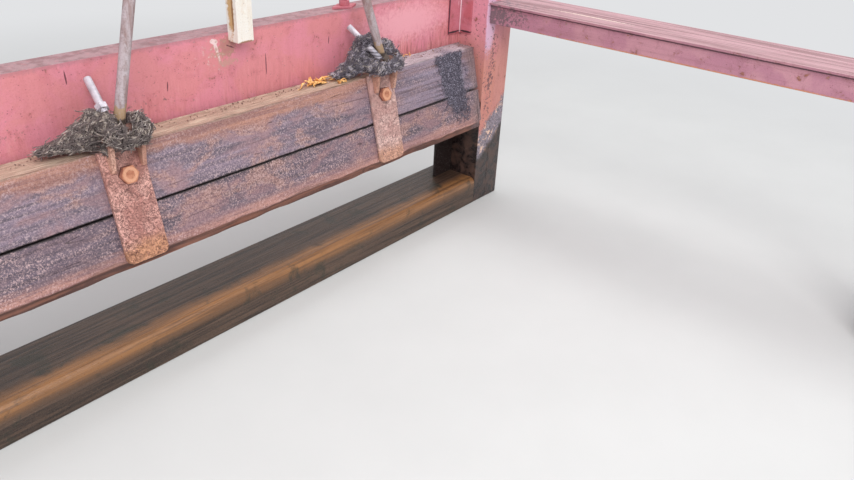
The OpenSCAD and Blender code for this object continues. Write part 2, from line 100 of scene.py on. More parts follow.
class Field:
    """A number or colour that varies over a surface, and the sums that can be done with it."""

    def __init__(self, graph: "Graph", socket: Socket) -> None:
        """Wraps a socket.

        Args:
            graph: The material's network.
            socket: The output socket that gives the value.
        """
        self.graph = graph
        self.socket = socket

    def __add__(self, other: Value) -> "Field":
        """The sum of two values."""
        return self.graph.calc("ADD", self, other)

    def __sub__(self, other: Value) -> "Field":
        """The difference of two values."""
        return self.graph.calc("SUBTRACT", self, other)

    def __rsub__(self, other: float) -> "Field":
        """A number less this value."""
        return self.graph.calc("SUBTRACT", other, self)

    def __mul__(self, other: Value) -> "Field":
        """The product of two values."""
        return self.graph.calc("MULTIPLY", self, other)

    def __abs__(self) -> "Field":
        """The value without its sign."""
        return self.graph.calc("ABSOLUTE", self)

    def centred(self, spread: float) -> "Field":
        """Noise drawn round zero and scaled."""
        return (self - 0.5) * spread

    def ease(self, low: float, high: float, start: float = 0.0, end: float = 1.0) -> "Field":
        """Moves smoothly from start to end as the value goes from low to high.

        Args:
            low: The value at which the change begins.
            high: The value at which it ends.
            start: The result at low.
            end: The result at high.

        Returns:
            The result.
        """
        node = self.graph.add("ShaderNodeMapRange", interpolation_type="SMOOTHSTEP")
        for name, number in zip(("From Min", "From Max", "To Min", "To Max"), (low, high, start, end)):
            node.inputs[name].default_value = number
        self.graph.feed(node.inputs["Value"], self)
        return Field(self.graph, node.outputs["Result"])

    def tones(self, low: float, high: float, one: Shade, two: Shade) -> "Field":
        """Turns smoothly from one colour into another as the value goes from low to high."""
        return self.graph.mix(self.ease(low, high), one, two)


class Graph:
    """A material's network, with one short call for each kind of node and one colour built up in coats."""

    def __init__(self, name: str, at: Triple = (0, 0, 0), turn: Triple = (0, 0, 0)) -> None:
        """Makes the material with its shader.

        Args:
            name: The material's name.
            at: The origin of the frame that it is laid out in.
            turn: That frame's rotation, in radians.
        """
        self.material = bpy.data.materials.new(name)
        self.material.use_nodes = True
        self.tree = self.material.node_tree
        self.tree.nodes.clear()
        self.output = self.add("ShaderNodeOutputMaterial")
        self.shader = self.add("ShaderNodeBsdfPrincipled")
        self.tree.links.new(self.shader.outputs["BSDF"], self.output.inputs["Surface"])
        self.object = self.add("ShaderNodeTexCoord").outputs["Object"]
        self.at = at
        self.turn = turn
        self.here = self.place(at, turn)
        self.colour: Shade = (128, 128, 128)

    def add(self, kind: str, **settings: object) -> Node:
        """Adds a node with the given settings.

        Args:
            kind: The node's type.
            settings: Its settings.

        Returns:
            The node.
        """
        node = self.tree.nodes.new(kind)
        for key, value in settings.items():
            setattr(node, key, value)
        return node

    def feed(self, socket: Socket, value: object) -> None:
        """Links a socket to a field or another socket, or sets its value.

        Args:
            socket: The input socket.
            value: A field, a socket, a number, a vector or an 8-bit display colour.
        """
        if isinstance(value, Field):
            value = value.socket
        if isinstance(value, Socket):
            self.tree.links.new(value, socket)
        elif socket.type == "RGBA":
            socket.default_value = (*tint(*value), 1.0)
        else:
            socket.default_value = value

    def place(self, at: Triple, turn: Triple, size: Triple = (1, 1, 1)) -> Field:
        """Object coordinates seen from a local frame.

        Args:
            at: The frame's origin, in metres.
            turn: The frame's rotation, in radians.
            size: Length of the frame's units along each axis, in metres.

        Returns:
            The local coordinates.
        """
        node = self.add("ShaderNodeMapping", vector_type="TEXTURE")
        self.feed(node.inputs["Vector"], self.object)
        for name, value in (("Location", at), ("Rotation", turn), ("Scale", size)):
            node.inputs[name].default_value = value
        return Field(self, node.outputs["Vector"])

    def noise(self, scale: float, detail: float = 4.0, rough: float = 0.55, warp: float = 0.0,
              size: Optional[Triple] = None, shift: float = 0.0) -> Field:
        """Cloudy noise from 0 to 1.

        Args:
            scale: How many clouds there are to each unit of length.
            detail: How many finer layers it has.
            rough: How strong the finer layers are.
            warp: How far it is pulled about.
            size: Length of the units along each axis, for noise drawn out into streaks.
            shift: How far such noise is moved along X, to make it another one.

        Returns:
            The noise.
        """
        where = self.here
        if size is not None:
            x, y, z = self.at
            where = self.place((x + shift, y, z), self.turn, size)
        node = self.add("ShaderNodeTexNoise")
        self.feed(node.inputs["Vector"], where)
        settings = {"Scale": scale, "Detail": detail, "Roughness": rough, "Distortion": warp}
        for name, value in settings.items():
            node.inputs[name].default_value = value
        return Field(self, node.outputs["Fac"])

    def cells(self, scale: float) -> Field:
        """Distance to the nearest of many scattered points.

        Args:
            scale: How many points there are to each unit of length.

        Returns:
            The distance.
        """
        node = self.add("ShaderNodeTexVoronoi")
        self.feed(node.inputs["Vector"], self.here)
        node.inputs["Scale"].default_value = scale
        return Field(self, node.outputs["Distance"])

    def calc(self, how: str, one: Value, two: Value = 0.0) -> Field:
        """The result of one sum on two values.

        Args:
            how: The sum's name.
            one: The first value.
            two: The second value.

        Returns:
            The result.
        """
        node = self.add("ShaderNodeMath", operation=how)
        self.feed(node.inputs[0], one)
        self.feed(node.inputs[1], two)
        return Field(self, node.outputs["Value"])

    def mix(self, share: Value, under: Shade, over: Shade) -> Field:
        """Lays one colour over another.

        Args:
            share: How much of the upper colour shows.
            under: The lower colour.
            over: The upper colour.

        Returns:
            The mixed colour.
        """
        node = self.add("ShaderNodeMix", data_type="RGBA")
        for number, value in ((0, share), (6, under), (7, over)):
            self.feed(node.inputs[number], value)
        return Field(self, node.outputs[2])

    def coat(self, share: Value, over: Shade) -> None:
        """Lays a colour over all that is there so far."""
        self.colour = self.mix(share, self.colour, over)

    def axis(self, name: str) -> Field:
        """One local coordinate, X, Y or Z.

        Args:
            name: The coordinate's name.

        Returns:
            The coordinate.
        """
        node = self.add("ShaderNodeSeparateXYZ")
        self.feed(node.inputs[0], self.here)
        return Field(self, node.outputs[name])

    def spot(self, at: Triple, size: Triple, turn: Optional[Triple] = None) -> Field:
        """A soft ellipsoid, 1 at its middle and 0 from its edge outwards.

        Args:
            at: Its middle, in metres.
            size: Its half lengths, in metres.
            turn: Its rotation, or None for the frame's own.

        Returns:
            The ellipsoid.
        """
        node = self.add("ShaderNodeTexGradient", gradient_type="SPHERICAL")
        self.feed(node.inputs["Vector"], self.place(at, self.turn if turn is None else turn, size))
        return Field(self, node.outputs["Fac"])

    def bumps(self, *layers: tuple[Field, float]) -> Field:
        """A surface normal from several heights.

        Args:
            layers: Each height, 0 to 1, with the depth in metres that 1 stands for.

        Returns:
            The normal.
        """
        normal = None
        for height, depth in layers:
            node = self.add("ShaderNodeBump")
            node.inputs["Distance"].default_value = depth
            self.feed(node.inputs["Height"], height)
            if normal is not None:
                self.feed(node.inputs["Normal"], normal)
            normal = Field(self, node.outputs["Normal"])
        return normal

    def finish(self, rough: Value, normal: Field, metal: float = 0.0, gloss: float = 0.5) -> Finish:
        """Feeds the shader with the colour and the rest.

        Args:
            rough: The roughness.
            normal: The surface normal.
            metal: How metallic it is.
            gloss: Specular level.

        Returns:
            The finished material.
        """
        self.feed(self.shader.inputs["Base Color"], self.colour)
        self.feed(self.shader.inputs["Roughness"], rough)
        self.feed(self.shader.inputs["Normal"], normal)
        self.shader.inputs["Metallic"].default_value = metal
        self.shader.inputs["Specular IOR Level"].default_value = gloss
        return self.material


@dataclass(frozen=True)
class Mark:
    """A scratch, chip or stain at one place, or a painted highlight, painted shadow or patch of painted
    light there.

    Attributes:
        at: Its middle, in metres.
        size: Its half lengths, in metres.
        lean: Its turn about the Y axis, in degrees.
        colour: Its colour.
        broken: How far fine noise breaks it up, 0 for not at all.
        force: How solid its middle is, 0 to 1.
    """

    at: tuple[float, float, float]
    size: tuple[float, float, float]
    lean: float
    colour: Colour
    broken: float = 0.6
    force: float = 1.0


DARK_CRACK = (112, 62, 70)
PALE_DRIP = (240, 212, 210)
TAN_CHIP = (190, 146, 128)
MOSS_GREY = (120, 96, 98)
DRIP_HALO = (190, 128, 124)
SCUFF = (206, 150, 142)
# Painted light: colour of a soft lighter patch laid over the right part of the beam.
BEAM_PAINTED_LIGHT = (240, 168, 178)
# Painted highlight: the lilac sheen on the post's glossy paint.
LILAC_SHEEN = (232, 190, 214)
RUST_SPECK = (132, 90, 92)
BEAM_FACE_Y = 0.025
BRACE_TOP_Z = 0.901
UPRIGHT_FACE_Y = 0.016
POST_FACE_Y = -0.116
# Height of the painted shadow along the uprights' foot.
FOOT_SHADOW_Z = 0.767

# Each row: place along the beam, height, half width, half height, lean, colour, breaking and force.
BEAM_MARKS = tuple(
    Mark((x, BEAM_FACE_Y, z), (wide, 0.02, tall), lean, colour, *rest)
    for x, z, wide, tall, lean, colour, *rest in (
        (-0.594, 0.898, 0.0030, 0.027, -2, DARK_CRACK),
        (-0.301, 0.814, 0.0030, 0.020, 6, DARK_CRACK),
        (0.067, 0.812, 0.0028, 0.050, 0, DARK_CRACK),
        (-0.128, 0.916, 0.020, 0.012, 20, PALE_DRIP, 0.9),
        (-0.122, 0.898, 0.009, 0.030, -16, PALE_DRIP, 0.5),
        (-0.114, 0.868, 0.005, 0.024, -12, PALE_DRIP, 0.5),
        (-0.080, 0.895, 0.050, 0.050, 0, DRIP_HALO, 0.9, 0.75),
        (-0.085, 0.845, 0.060, 0.022, 0, SCUFF, 1.5, 0.6),
        (-0.070, 0.893, 0.022, 0.0035, 24, DARK_CRACK, 0.4),
        (-0.110, 0.880, 0.110, 0.075, 0, TAN_CHIP, 1.3, 0.34),
        (-0.150, 0.870, 0.100, 0.075, 20, PALE_DRIP, 1.3, 0.20),
        (0.350, 0.845, 0.0026, 0.018, 3, DARK_CRACK),
        (-0.420, 0.775, 0.300, 0.030, 0, MOSS_GREY, 1.4, 0.16),
        (0.600, 0.775, 0.400, 0.036, 0, MOSS_GREY, 1.4, 0.22),
        (-0.850, 0.775, 0.250, 0.040, 0, MOSS_GREY, 1.4, 0.22))
# Painted light: a soft, lighter pink patch over the right part of the beam's face.
) + (Mark((0.780, BEAM_FACE_Y, 0.850), (0.560, 0.03, 0.160), 0, BEAM_PAINTED_LIGHT, 0.5, 0.50),)
BRACE_MARKS = (
    Mark((1.270, -0.850, BRACE_TOP_Z), (0.0030, 0.95, 0.01), 0, (112, 84, 82), 0.5),
    Mark((1.220, -0.520, BRACE_TOP_Z), (0.0100, 0.22, 0.01), 0, (226, 200, 190), 1.6),
    # Painted shadow: a dark line along the brace's face just under the top plate's edge.
    Mark((1.135, -1.000, 0.890), (0.010, 1.60, 0.0065), 0, (112, 78, 88), 0.4),
    Mark((1.135, -1.000, 0.819), (0.010, 1.20, 0.0060), 0, (204, 134, 104), 1.2, 0.6),
    # Painted shade: a darker, mottled patch over the brace's end next to the post.
    Mark((1.160, -0.060, 0.860), (0.14, 0.36, 0.10), 0, (126, 102, 110), 1.6, 0.62),
)
# Painted light on the uprights: two white lines of painted highlight along the angle's root, a dark line of
# painted shadow beside its flat leg, and dark painted shadow along its foot.
UPRIGHT_GLINTS_AND_SHADOWS = tuple(
    Mark((way * x, y, z), (half, depth, height), 0, colour, broken)
    for way in (1, -1)
    for x, y, z, half, depth, height, colour, broken in (
        (1.108, UPRIGHT_FACE_Y, 1.000, 0.0035, 0.010, 0.450, (252, 226, 234), 0.3),
        (1.092, UPRIGHT_FACE_Y, 1.000, 0.0034, 0.010, 0.180, (250, 220, 230), 0.9),
        (1.034, UPRIGHT_FACE_Y, 1.000, 0.0045, 0.010, 0.450, (84, 46, 58), 0.4),
        (1.115, -0.014, FOOT_SHADOW_Z, 0.0120, 0.045, 0.006, (62, 38, 44), 0.5),
        (1.068, UPRIGHT_FACE_Y, FOOT_SHADOW_Z, 0.0600, 0.010, 0.006, (62, 38, 44), 0.5)))
POST_MARKS = tuple(
    Mark((way * x, POST_FACE_Y, z), (half, 0.014, height), way * lean, colour, broken, force)
    for x, z, half, height, lean, colour, broken, force in (
        # Painted highlight: a soft lilac sheen down the post's front face. The dark specks below it are
        # rust.
        (1.140, 0.830, 0.070, 0.225, 0, LILAC_SHEEN, 0.8, 0.75),
        (1.176, 0.600, 0.036, 0.260, 3, RUST_SPECK, 2.4, 0.42))
    for way in (1, -1))
WHITE_MARKS = (
    Mark((-0.076, 0.004, 1.080), (0.008, 0.024, 0.260), 0, (206, 166, 116), 0.9, 0.75),
    Mark((-0.076, -0.006, 1.000), (0.006, 0.007, 0.090), 0, (158, 116, 74), 0.9, 0.8),
    Mark((-0.045, -0.025, 0.912), (0.040, 0.020, 0.006), 0, (170, 128, 104), 1.0, 0.8),
)


class PaintGraph(Graph):
    """An aged paint's network, with the noises that all its coats share."""

    def __init__(self, name: str, streak: Triple) -> None:
        """Makes the material and the noises.

        Args:
            name: The material's name.
            streak: Length of the streaks along each axis, in metres.
        """
        super().__init__(name)
        self.height = self.axis("Z")
        self.cloud = self.noise(6.5, 5, 0.6, 0.5)
        self.mottle = self.noise(24, 6, 0.65, 0.5)
        self.fine = self.noise(75, 5, 0.7)
        self.grit = self.noise(230, 3, 0.8)
        self.runs = self.noise(1.0, 6, 0.68, size=streak)


@dataclass(frozen=True)
class Look:
    """A finish, which makes its own material.

    Attributes:
        name: The material's name.
    """

    name: str


@dataclass(frozen=True)
class AgedPaint(Look):
    """Faded paint over rusting steel, with streaks, chips, grit and a wet foot.

    Attributes:
        paint: The paint where it is sound.
        faded: The paint where the weather has bleached it.
        stain: The brown of old runs and scuffs.
        low: Colour of the paint below low_z.
        wear: Share of the surface that is chipped through, 0 to 1.
        streaks: How much of the streaks shows.
        dust: Colour of the upper faces.
        streak: Length of the streaks along each axis, in metres.
        wet_top: Height below which the steel is black and wet.
        dust_z: Height above which the dust lies.
        low_z: Height at which the colour turns.
        wet_slope: Rise of the wet line for each metre outwards from slope_x.
        slope_x: Distance from the middle at which the wet line is at wet_top.
        scaly: How much flaking there is along the wet line, 0 to 1.
        weep_z: Height below which fine runs weep down the face.
        weep_x: Place along the gate from which they do so.
        marks: Scratches and stains at known places, and painted highlights, painted shadows and painted
            light there.
    """

    paint: Colour
    faded: Colour
    stain: Colour
    low: Colour
    wear: float
    streaks: float = 0.2
    dust: Colour = (184, 154, 156)
    streak: tuple[float, float, float] = (0.035, 0.035, 0.55)
    wet_top: float = -1.0
    dust_z: float = 9.0
    low_z: float = -1.0
    wet_slope: float = 0.0
    slope_x: float = 1.165
    scaly: float = 0.0
    weep_z: float = -1.0
    weep_x: float = 0.62
    marks: tuple[Mark, ...] = ()

    def fade(self, g: PaintGraph) -> None:
        """Lays the bleached, streaked and gritty paint.

        Args:
            g: The material's network.
        """
        g.colour = g.cloud.tones(0.42, 0.60, self.paint, self.faded)
        sway = g.height + g.mottle.centred(0.10)
        g.coat(sway.ease(self.low_z + 0.14, self.low_z - 0.14), self.low)
        g.coat(g.runs.ease(0.46, 0.70, 0, self.streaks), self.stain)
        g.coat(g.mottle.ease(0.50, 0.70, 0, 0.40), self.stain)
        g.coat(g.grit.ease(0.52, 0.70, 0, 0.42), self.stain)
        g.coat(g.grit.ease(0.46, 0.32, 0, 0.35), self.faded)

    def weep(self, g: PaintGraph) -> None:
        """Lays the fine dark and pale runs below weep_z.

        Args:
            g: The material's network.
        """
        lines = g.noise(1.0, 3, 0.6, size=(0.007, 0.007, 0.06))
        fall = (g.height + g.cloud.centred(0.30)).ease(self.weep_z + 0.06, self.weep_z - 0.06)
        along = g.axis("X") + g.cloud.centred(0.6)
        fall = fall * along.ease(self.weep_x - 0.10, self.weep_x + 0.10, 0.25, 0.9)
        g.coat(fall * lines.ease(0.52, 0.64, 0, 0.60), (156, 84, 84))
        g.coat(fall * lines.ease(0.44, 0.32, 0, 0.45), (246, 196, 190))

    def chip(self, g: PaintGraph) -> Field:
        """Breaks the paint through to the rust.

        Args:
            g: The material's network.

        Returns:
            1 where the paint is gone.
        """
        edge = 0.80 - 0.22 * self.wear
        bare = (g.mottle * 0.70 + g.fine * 0.40).ease(edge - 0.11, edge - 0.06)
        g.coat(bare, g.fine.tones(0.35, 0.65, (96, 58, 52), (172, 112, 92)))
        pits = g.cells(105).ease(0.20, 0.10) * g.mottle.ease(0.46, 0.58)
        g.coat(pits * 0.6, (112, 62, 66))
        return g.calc("MAXIMUM", bare, pits * 0.6)

    def dusting(self, g: PaintGraph) -> None:
        """Lays the dust on the upper face and its tide mark below the edge.

        Args:
            g: The material's network.
        """
        lie = g.height.ease(self.dust_z - 0.0006, self.dust_z)
        dirt = g.runs.tones(0.42, 0.60, self.dust, (136, 108, 106))
        g.coat(lie * g.fine.ease(0.30, 0.50, 0.45, 0.95), dirt)
        rim = (g.height + g.fine.centred(0.03)).ease(self.dust_z - 0.016, self.dust_z)
        g.coat(rim * 0.45, (156, 112, 120))

    def scar(self, g: PaintGraph) -> None:
        """Draws the marks.

        Args:
            g: The material's network.
        """
        for mark in self.marks:
            spot = g.spot(mark.at, mark.size, (0, math.radians(mark.lean), 0)) * mark.force
            g.coat((spot + g.fine.centred(mark.broken)).ease(0.20, 0.42), mark.colour)

    def drown(self, g: PaintGraph) -> Field:
        """Lays the flaking along the wet line and the black slime below it.

        Args:
            g: The material's network.

        Returns:
            1 where it is wet.
        """
        outward = abs(g.axis("X")) - self.slope_x
        # On the faces turned into the opening, the dark foot reaches higher by 0.30 m times scaly, and
        # there is no flaking.
        inner = outward.ease(-0.0405, -0.0435)
        line = g.height + g.cloud.centred(0.16) - outward * self.wet_slope - inner * (0.30 * self.scaly)
        band = (line + g.fine.centred(0.12)).ease(self.wet_top + 0.130, self.wet_top + 0.095, 0, self.scaly)
        flakes = g.grit.tones(0.42, 0.58, (92, 80, 90), (176, 164, 174))
        flakes = (g.mottle + g.fine.centred(0.5)).tones(0.56, 0.62, flakes, (244, 206, 184))
        g.coat(band - inner, flakes)
        wet = line.ease(self.wet_top + 0.02, self.wet_top - 0.02)
        slime = g.mottle.tones(0.42, 0.62, (40, 30, 29), (84, 62, 54))
        g.coat(wet, g.mix(g.cells(160).ease(0.16, 0.08, 0, 0.55), slime, (150, 140, 140)))
        return wet

    def build(self) -> Finish:
        """Makes the material.

        Returns:
            The finished material.
        """
        g = PaintGraph(self.name, self.streak)
        self.fade(g)
        self.weep(g)
        gone = self.chip(g)
        self.dusting(g)
        self.scar(g)
        wet = self.drown(g)
        rough = g.mottle.ease(0.3, 0.7, 0.50, 0.70) - wet * 0.28
        return g.finish(rough, g.bumps((1.0 - gone, 0.0010), (g.fine, 0.0014), (g.grit, 0.0006)))


@dataclass(frozen=True)
class RustedIron(Look):
    """Iron rusted all over, pitted and flaking.

    Attributes:
        dark: Colour of the pits.
        mid: Colour of most of the surface.
        light: Colour of the dry bloom.
        foot: Colour near the lower end.
        foot_z: Height at which the foot's colour begins.
        calm_z: Height above which it is smoother.
        pit: Depth of the pits, in metres.
        wet_top: Height below which it is black and wet.
        silt_z: Height above which silt has darkened it.
    """

    dark: Colour
    mid: Colour
    light: Colour
    foot: Colour
    foot_z: float = -1.0
    calm_z: float = 9.0
    pit: float = 0.0020
    wet_top: float = -1.0
    silt_z: float = 9.0

    def build(self) -> Finish:
        """Makes the material.

        Returns:
            The finished material.
        """
        g = Graph(self.name)
        cloud = g.noise(14, 6, 0.64, 0.4)
        scale = g.noise(105, 5, 0.72, 0.6)
        grit = g.noise(340, 3, 0.8)
        pocks = abs(g.noise(95, 4, 0.62, 1.4).centred(1.0)).ease(0.040, 0.008)
        height = g.axis("Z")
        g.colour = cloud.tones(0.38, 0.62, self.mid, self.light)
        g.coat((height + cloud.centred(0.06)).ease(self.foot_z + 0.03, self.foot_z - 0.02), self.foot)
        harsh = (height + cloud.centred(0.10)).ease(self.calm_z + 0.03, self.calm_z - 0.03, 0.5, 1)
        g.coat((scale + grit.centred(0.4)).ease(0.52, 0.66, 0, 0.65) * harsh, self.dark)
        g.coat(scale.ease(0.42, 0.30, 0, 0.5), self.light)
        g.coat(grit.ease(0.54, 0.70, 0, 0.5), self.light)
        deep = pocks * cloud.ease(0.40, 0.54, 0.2, 0.75)
        g.coat(deep * harsh.ease(0, 1, 0.5, 1), self.dark)
        g.coat(height.ease(self.silt_z - 0.006, self.silt_z + 0.006, 0, 0.85), (58, 48, 50))
        wet = (height + cloud.centred(0.12)).ease(self.wet_top + 0.04, self.wet_top - 0.04)
        g.coat(wet, (46, 34, 32))
        g.coat(wet * g.cells(120).ease(0.20, 0.10), (150, 140, 140))
        rough = scale.ease(0.3, 0.7, 0.70, 0.92) - wet * 0.45
        normal = g.bumps((scale, self.pit), (grit, self.pit * 0.35), (pocks, -self.pit * 0.7))
        return g.finish(rough, normal, gloss=0.3)


@dataclass(frozen=True)
class WornBar(Look):
    """Weathered bar steel, mottled along its length, with a rubbed tan foot.

    Attributes:
        pale: Colour of the dry grey bloom.
        brown: Colour of the shaded rust.
        foot: Colour near the lower eyes.
        heel: Colour of the eyes in the wet of the nests.
        foot_top: Height at which the foot's colour ends.
    """

    pale: Colour
    brown: Colour
    foot: Colour
    heel: Colour
    foot_top: float

    def build(self) -> Finish:
        """Makes the material.

        Returns:
            The finished material.
        """
        g = Graph(self.name)
        cloud = g.noise(1.0, 6, 0.66, 0.6, size=(0.03, 0.03, 0.16))
        grit = g.noise(210, 4, 0.75)
        blot = g.noise(55, 4, 0.6, 0.4)
        height = g.axis("Z")
        g.colour = cloud.tones(0.42, 0.60, self.pale, self.brown)
        g.coat(blot.ease(0.52, 0.68, 0, 0.5), self.brown)
        g.coat(grit.ease(0.50, 0.68, 0, 0.55), (134, 112, 108))
        low = (height + blot.centred(0.14)).ease(self.foot_top, self.foot_top - 0.02)
        g.coat(low * 0.75, self.foot)
        g.coat(height.ease(self.foot_top - 0.036, self.foot_top - 0.044, 0, 0.9), self.heel)
        return g.finish(grit.ease(0.3, 0.7, 0.5, 0.72), g.bumps((grit, 0.0009), (blot, 0.0016)), metal=0.1)


@dataclass(frozen=True)
class DullZinc(Look):
    """Weathered galvanising, with painted shade in the thread's grooves.

    Attributes:
        pale: Colour of the zinc's bloom.
        dull: Colour between the spangles.
        grubby_z: Height below which the silt has dulled the thread and its grooves are painted dark as
            shade.
        ring: Pitch of the thread's rings, in height.
    """

    pale: Colour
    dull: Colour
    grubby_z: float = 0.828
    ring: float = 0.0100

    def build(self) -> Finish:
        """Makes the material.

        Returns:
            The finished material.
        """
        g = Graph(self.name)
        cloud = g.noise(38, 4)
        grain = g.noise(200, 3, 0.7)
        g.colour = cloud.tones(0.40, 0.65, self.pale, self.dull)
        g.coat(cloud.ease(0.60, 0.70, 0, 0.35), (206, 158, 152))
        g.coat(grain.ease(0.52, 0.7, 0, 0.3), self.dull)
        height = g.axis("Z")
        low = height.ease(self.grubby_z, self.grubby_z - 0.015)
        ring = g.calc("SINE", height * (2 * math.pi / self.ring))
        groove = low * ring.ease(0.2, 0.9)
        g.coat(low * 0.80, (150, 146, 156))
        # Painted shade: the thread's grooves darkened.
        g.coat(groove * 0.85, (70, 64, 72))
        normal = g.bumps((grain, 0.0004), (groove, -0.002))
        return g.finish(cloud.ease(0.3, 0.7, 0.4, 0.6), normal, metal=0.2)


def leaf_joint() -> dict:
    """The frame's record of the hinge that the leaf hangs on."""
    return next(joint for joint in frame["joints"] if joint["name"] == "leaf_swing")


@dataclass(frozen=True)
class LeafSpace:
    """The leaning leaf's own frame: X along it, Y into the planks, Z up the face from the top edge.

    Attributes:
        lean: The leaf's lean from upright, in radians.
        origin: The middle of the top front edge.
        half: Half the leaf's length.
        thickness: Thickness of the planks.
    """

    lean: float
    origin: Vector
    half: float
    thickness: float

    @classmethod
    def read(cls, thickness: float = 0.080) -> "LeafSpace":
        """Reads the leaf's place from the gate.

        Args:
            thickness: Thickness of the planks.

        Returns:
            The leaf's frame.
        """
        lean = math.radians(leaf_joint()["range_deg"][1])
        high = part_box("upper_plank")[1]
        return cls(lean, Vector((0, high.y - thickness / math.cos(lean), high.z)), high.x, thickness)

    @property
    def matrix(self) -> Matrix:
        """From the leaf's own frame to the gate's."""
        return Matrix.Translation(self.origin) @ Matrix.Rotation(-self.lean, 4, "X")

    @property
    def turn(self) -> tuple[float, float, float]:
        """The frame's rotation, in radians."""
        return (-self.lean, 0, 0)


@dataclass(frozen=True)
class WetPlank(Look):
    """Dark wet plank, tan along its top, orange and bruised along its foot, gritty all over, with painted
    glints on droplets, painted shade on the foot's lip and painted shadow under the weed.

    Attributes:
        space: The leaf's own frame.
        body: Colour of the sound wet wood.
        shade: Colour of the darker bands.
        warm: Colour of the browner patches.
        speck: Colour of the fine grit, and of the painted glints on droplets.
        speckled: How much of the grit shows.
        stained: How much of the rusty staining shows.
        greyer: Colour of the greyer part.
        grey_at: Place along the leaf where it turns greyer.
        grey_way: 1 for greyer to the right of it, -1 for to the left.
    """

    space: LeafSpace
    body: Colour
    shade: Colour
    warm: Colour
    speck: Colour
    speckled: float
    stained: float
    greyer: Colour
    grey_at: float
    grey_way: float

    def build(self) -> Finish:
        """Makes the material.

        Returns:
            The finished material.
        """
        g = Graph(self.name, self.space.origin, self.space.turn)
        up = g.axis("Z")
        along = g.axis("X")
        grain = g.noise(1.0, 7, 0.68, 0.4, size=(0.45, 0.014, 0.014))
        fibre = g.noise(1.0, 4, 0.65, size=(0.07, 0.0024, 0.0024))
        patch = g.noise(1.0, 6, 0.64, 0.6, size=(0.20, 0.08, 0.08))
        blotch = g.noise(1.0, 7, 0.66, 0.5, size=(0.15, 0.085, 0.085), shift=3)
        fleck = g.noise(210, 3, 0.85)
        past = (along + patch.centred(0.25) - self.grey_at) * self.grey_way
        g.colour = grain.tones(0.32, 0.66, self.shade, self.body)
        g.coat(patch.ease(0.44, 0.60), self.warm)
        bruise = (blotch + fleck.centred(0.16)).ease(0.50, 0.62, 0, self.stained)
        g.coat(bruise, fleck.tones(0.4, 0.6, (150, 106, 94), (198, 156, 142)))
        # The tan top, the greyer end and the orange foot
        rise = up + (patch.centred(0.07) + grain.centred(0.03))
        g.coat(rise.ease(-0.058, -0.034, 0, 0.88),
               grain.tones(0.42, 0.60, (186, 132, 110), (146, 100, 90)))
        g.coat(past.ease(-0.04, 0.10, 0, 0.75), grain.tones(0.36, 0.62, self.shade, self.greyer))
        g.coat(rise.ease(-0.272, -0.310, 0, 0.85),
               grain.tones(0.42, 0.60, (196, 142, 128), (156, 108, 100)))
        # Grit, painted glints on droplets, and dark flecks
        gate = patch.ease(0.34, 0.60, self.speckled, 0.35 * self.speckled)
        g.coat(fleck.ease(0.50, 0.62) * gate, self.speck)
        g.coat(fleck.ease(0.46, 0.34, 0, 0.55), self.shade)
        g.coat(g.noise(430, 2, 0.9).ease(0.54, 0.70, 0, 0.35), self.speck)
        # The dry ledge on top, and the worn lip at the foot, its brown wood darkened as painted shade
        ledge = fibre.tones(0.4, 0.6, (158, 134, 116), (208, 186, 164))
        grey_ledge = fibre.tones(0.4, 0.6, (140, 130, 136), (214, 204, 214))
        ledge = g.mix(past.ease(-0.04, 0.10, 0, 0.85), ledge, grey_ledge)
        g.coat((up + patch.centred(0.02)).ease(-0.012, -0.001, 0, 0.85), ledge)
        lip = (grain + blotch.centred(0.5)).tones(0.40, 0.60, (134, 88, 72), (84, 54, 48))
        g.coat(up.ease(-0.316, -0.324), lip)
        # The seam between the planks, and the cracks
        seam = abs(up + 0.178 + patch.centred(0.016)) + fleck.centred(0.010)
        g.coat(seam.ease(0.008, 0.003, 0, 0.94), (38, 30, 32))
        split = abs(g.noise(1.0, 1, 0.3, size=(1.4, 0.05, 0.05)).centred(1.0))
        cracks = split.ease(0.004, 0.001) * patch.ease(0.54, 0.60)
        g.coat(cracks * 0.5, (62, 50, 54))
        end = self.space.half
        worn_end = (along + patch.centred(0.1)).ease(end - 0.075, end - 0.03, 0, 0.75)
        g.coat(worn_end, fleck.tones(0.4, 0.6, (118, 92, 92), (156, 132, 132)))
        checks = g.noise(1.0, 3, size=(0.006, 0.006, 0.10)).ease(0.56, 0.64)
        g.coat(checks * worn_end, (66, 52, 54))
        # Painted shadow of the hanging weed: a dark patch on the plank, mottled to give it ragged edges
        weed = self.space.matrix @ Vector((0.935, 0, -0.105))
        mat = g.spot(weed, (0.105, 0.30, 0.190)) + fleck.centred(0.9)
        slime = g.noise(260, 2, 0.9).tones(0.44, 0.56, (70, 66, 78), (158, 152, 166))
        g.coat(mat.ease(0.22, 0.44, 0, 0.85), slime)
        return g.finish(fleck.ease(0.3, 0.7, 0.40, 0.66),
                        g.bumps((grain, 0.0016), (fibre, 0.0008), (fleck, 0.0016), (cracks, -0.003)))


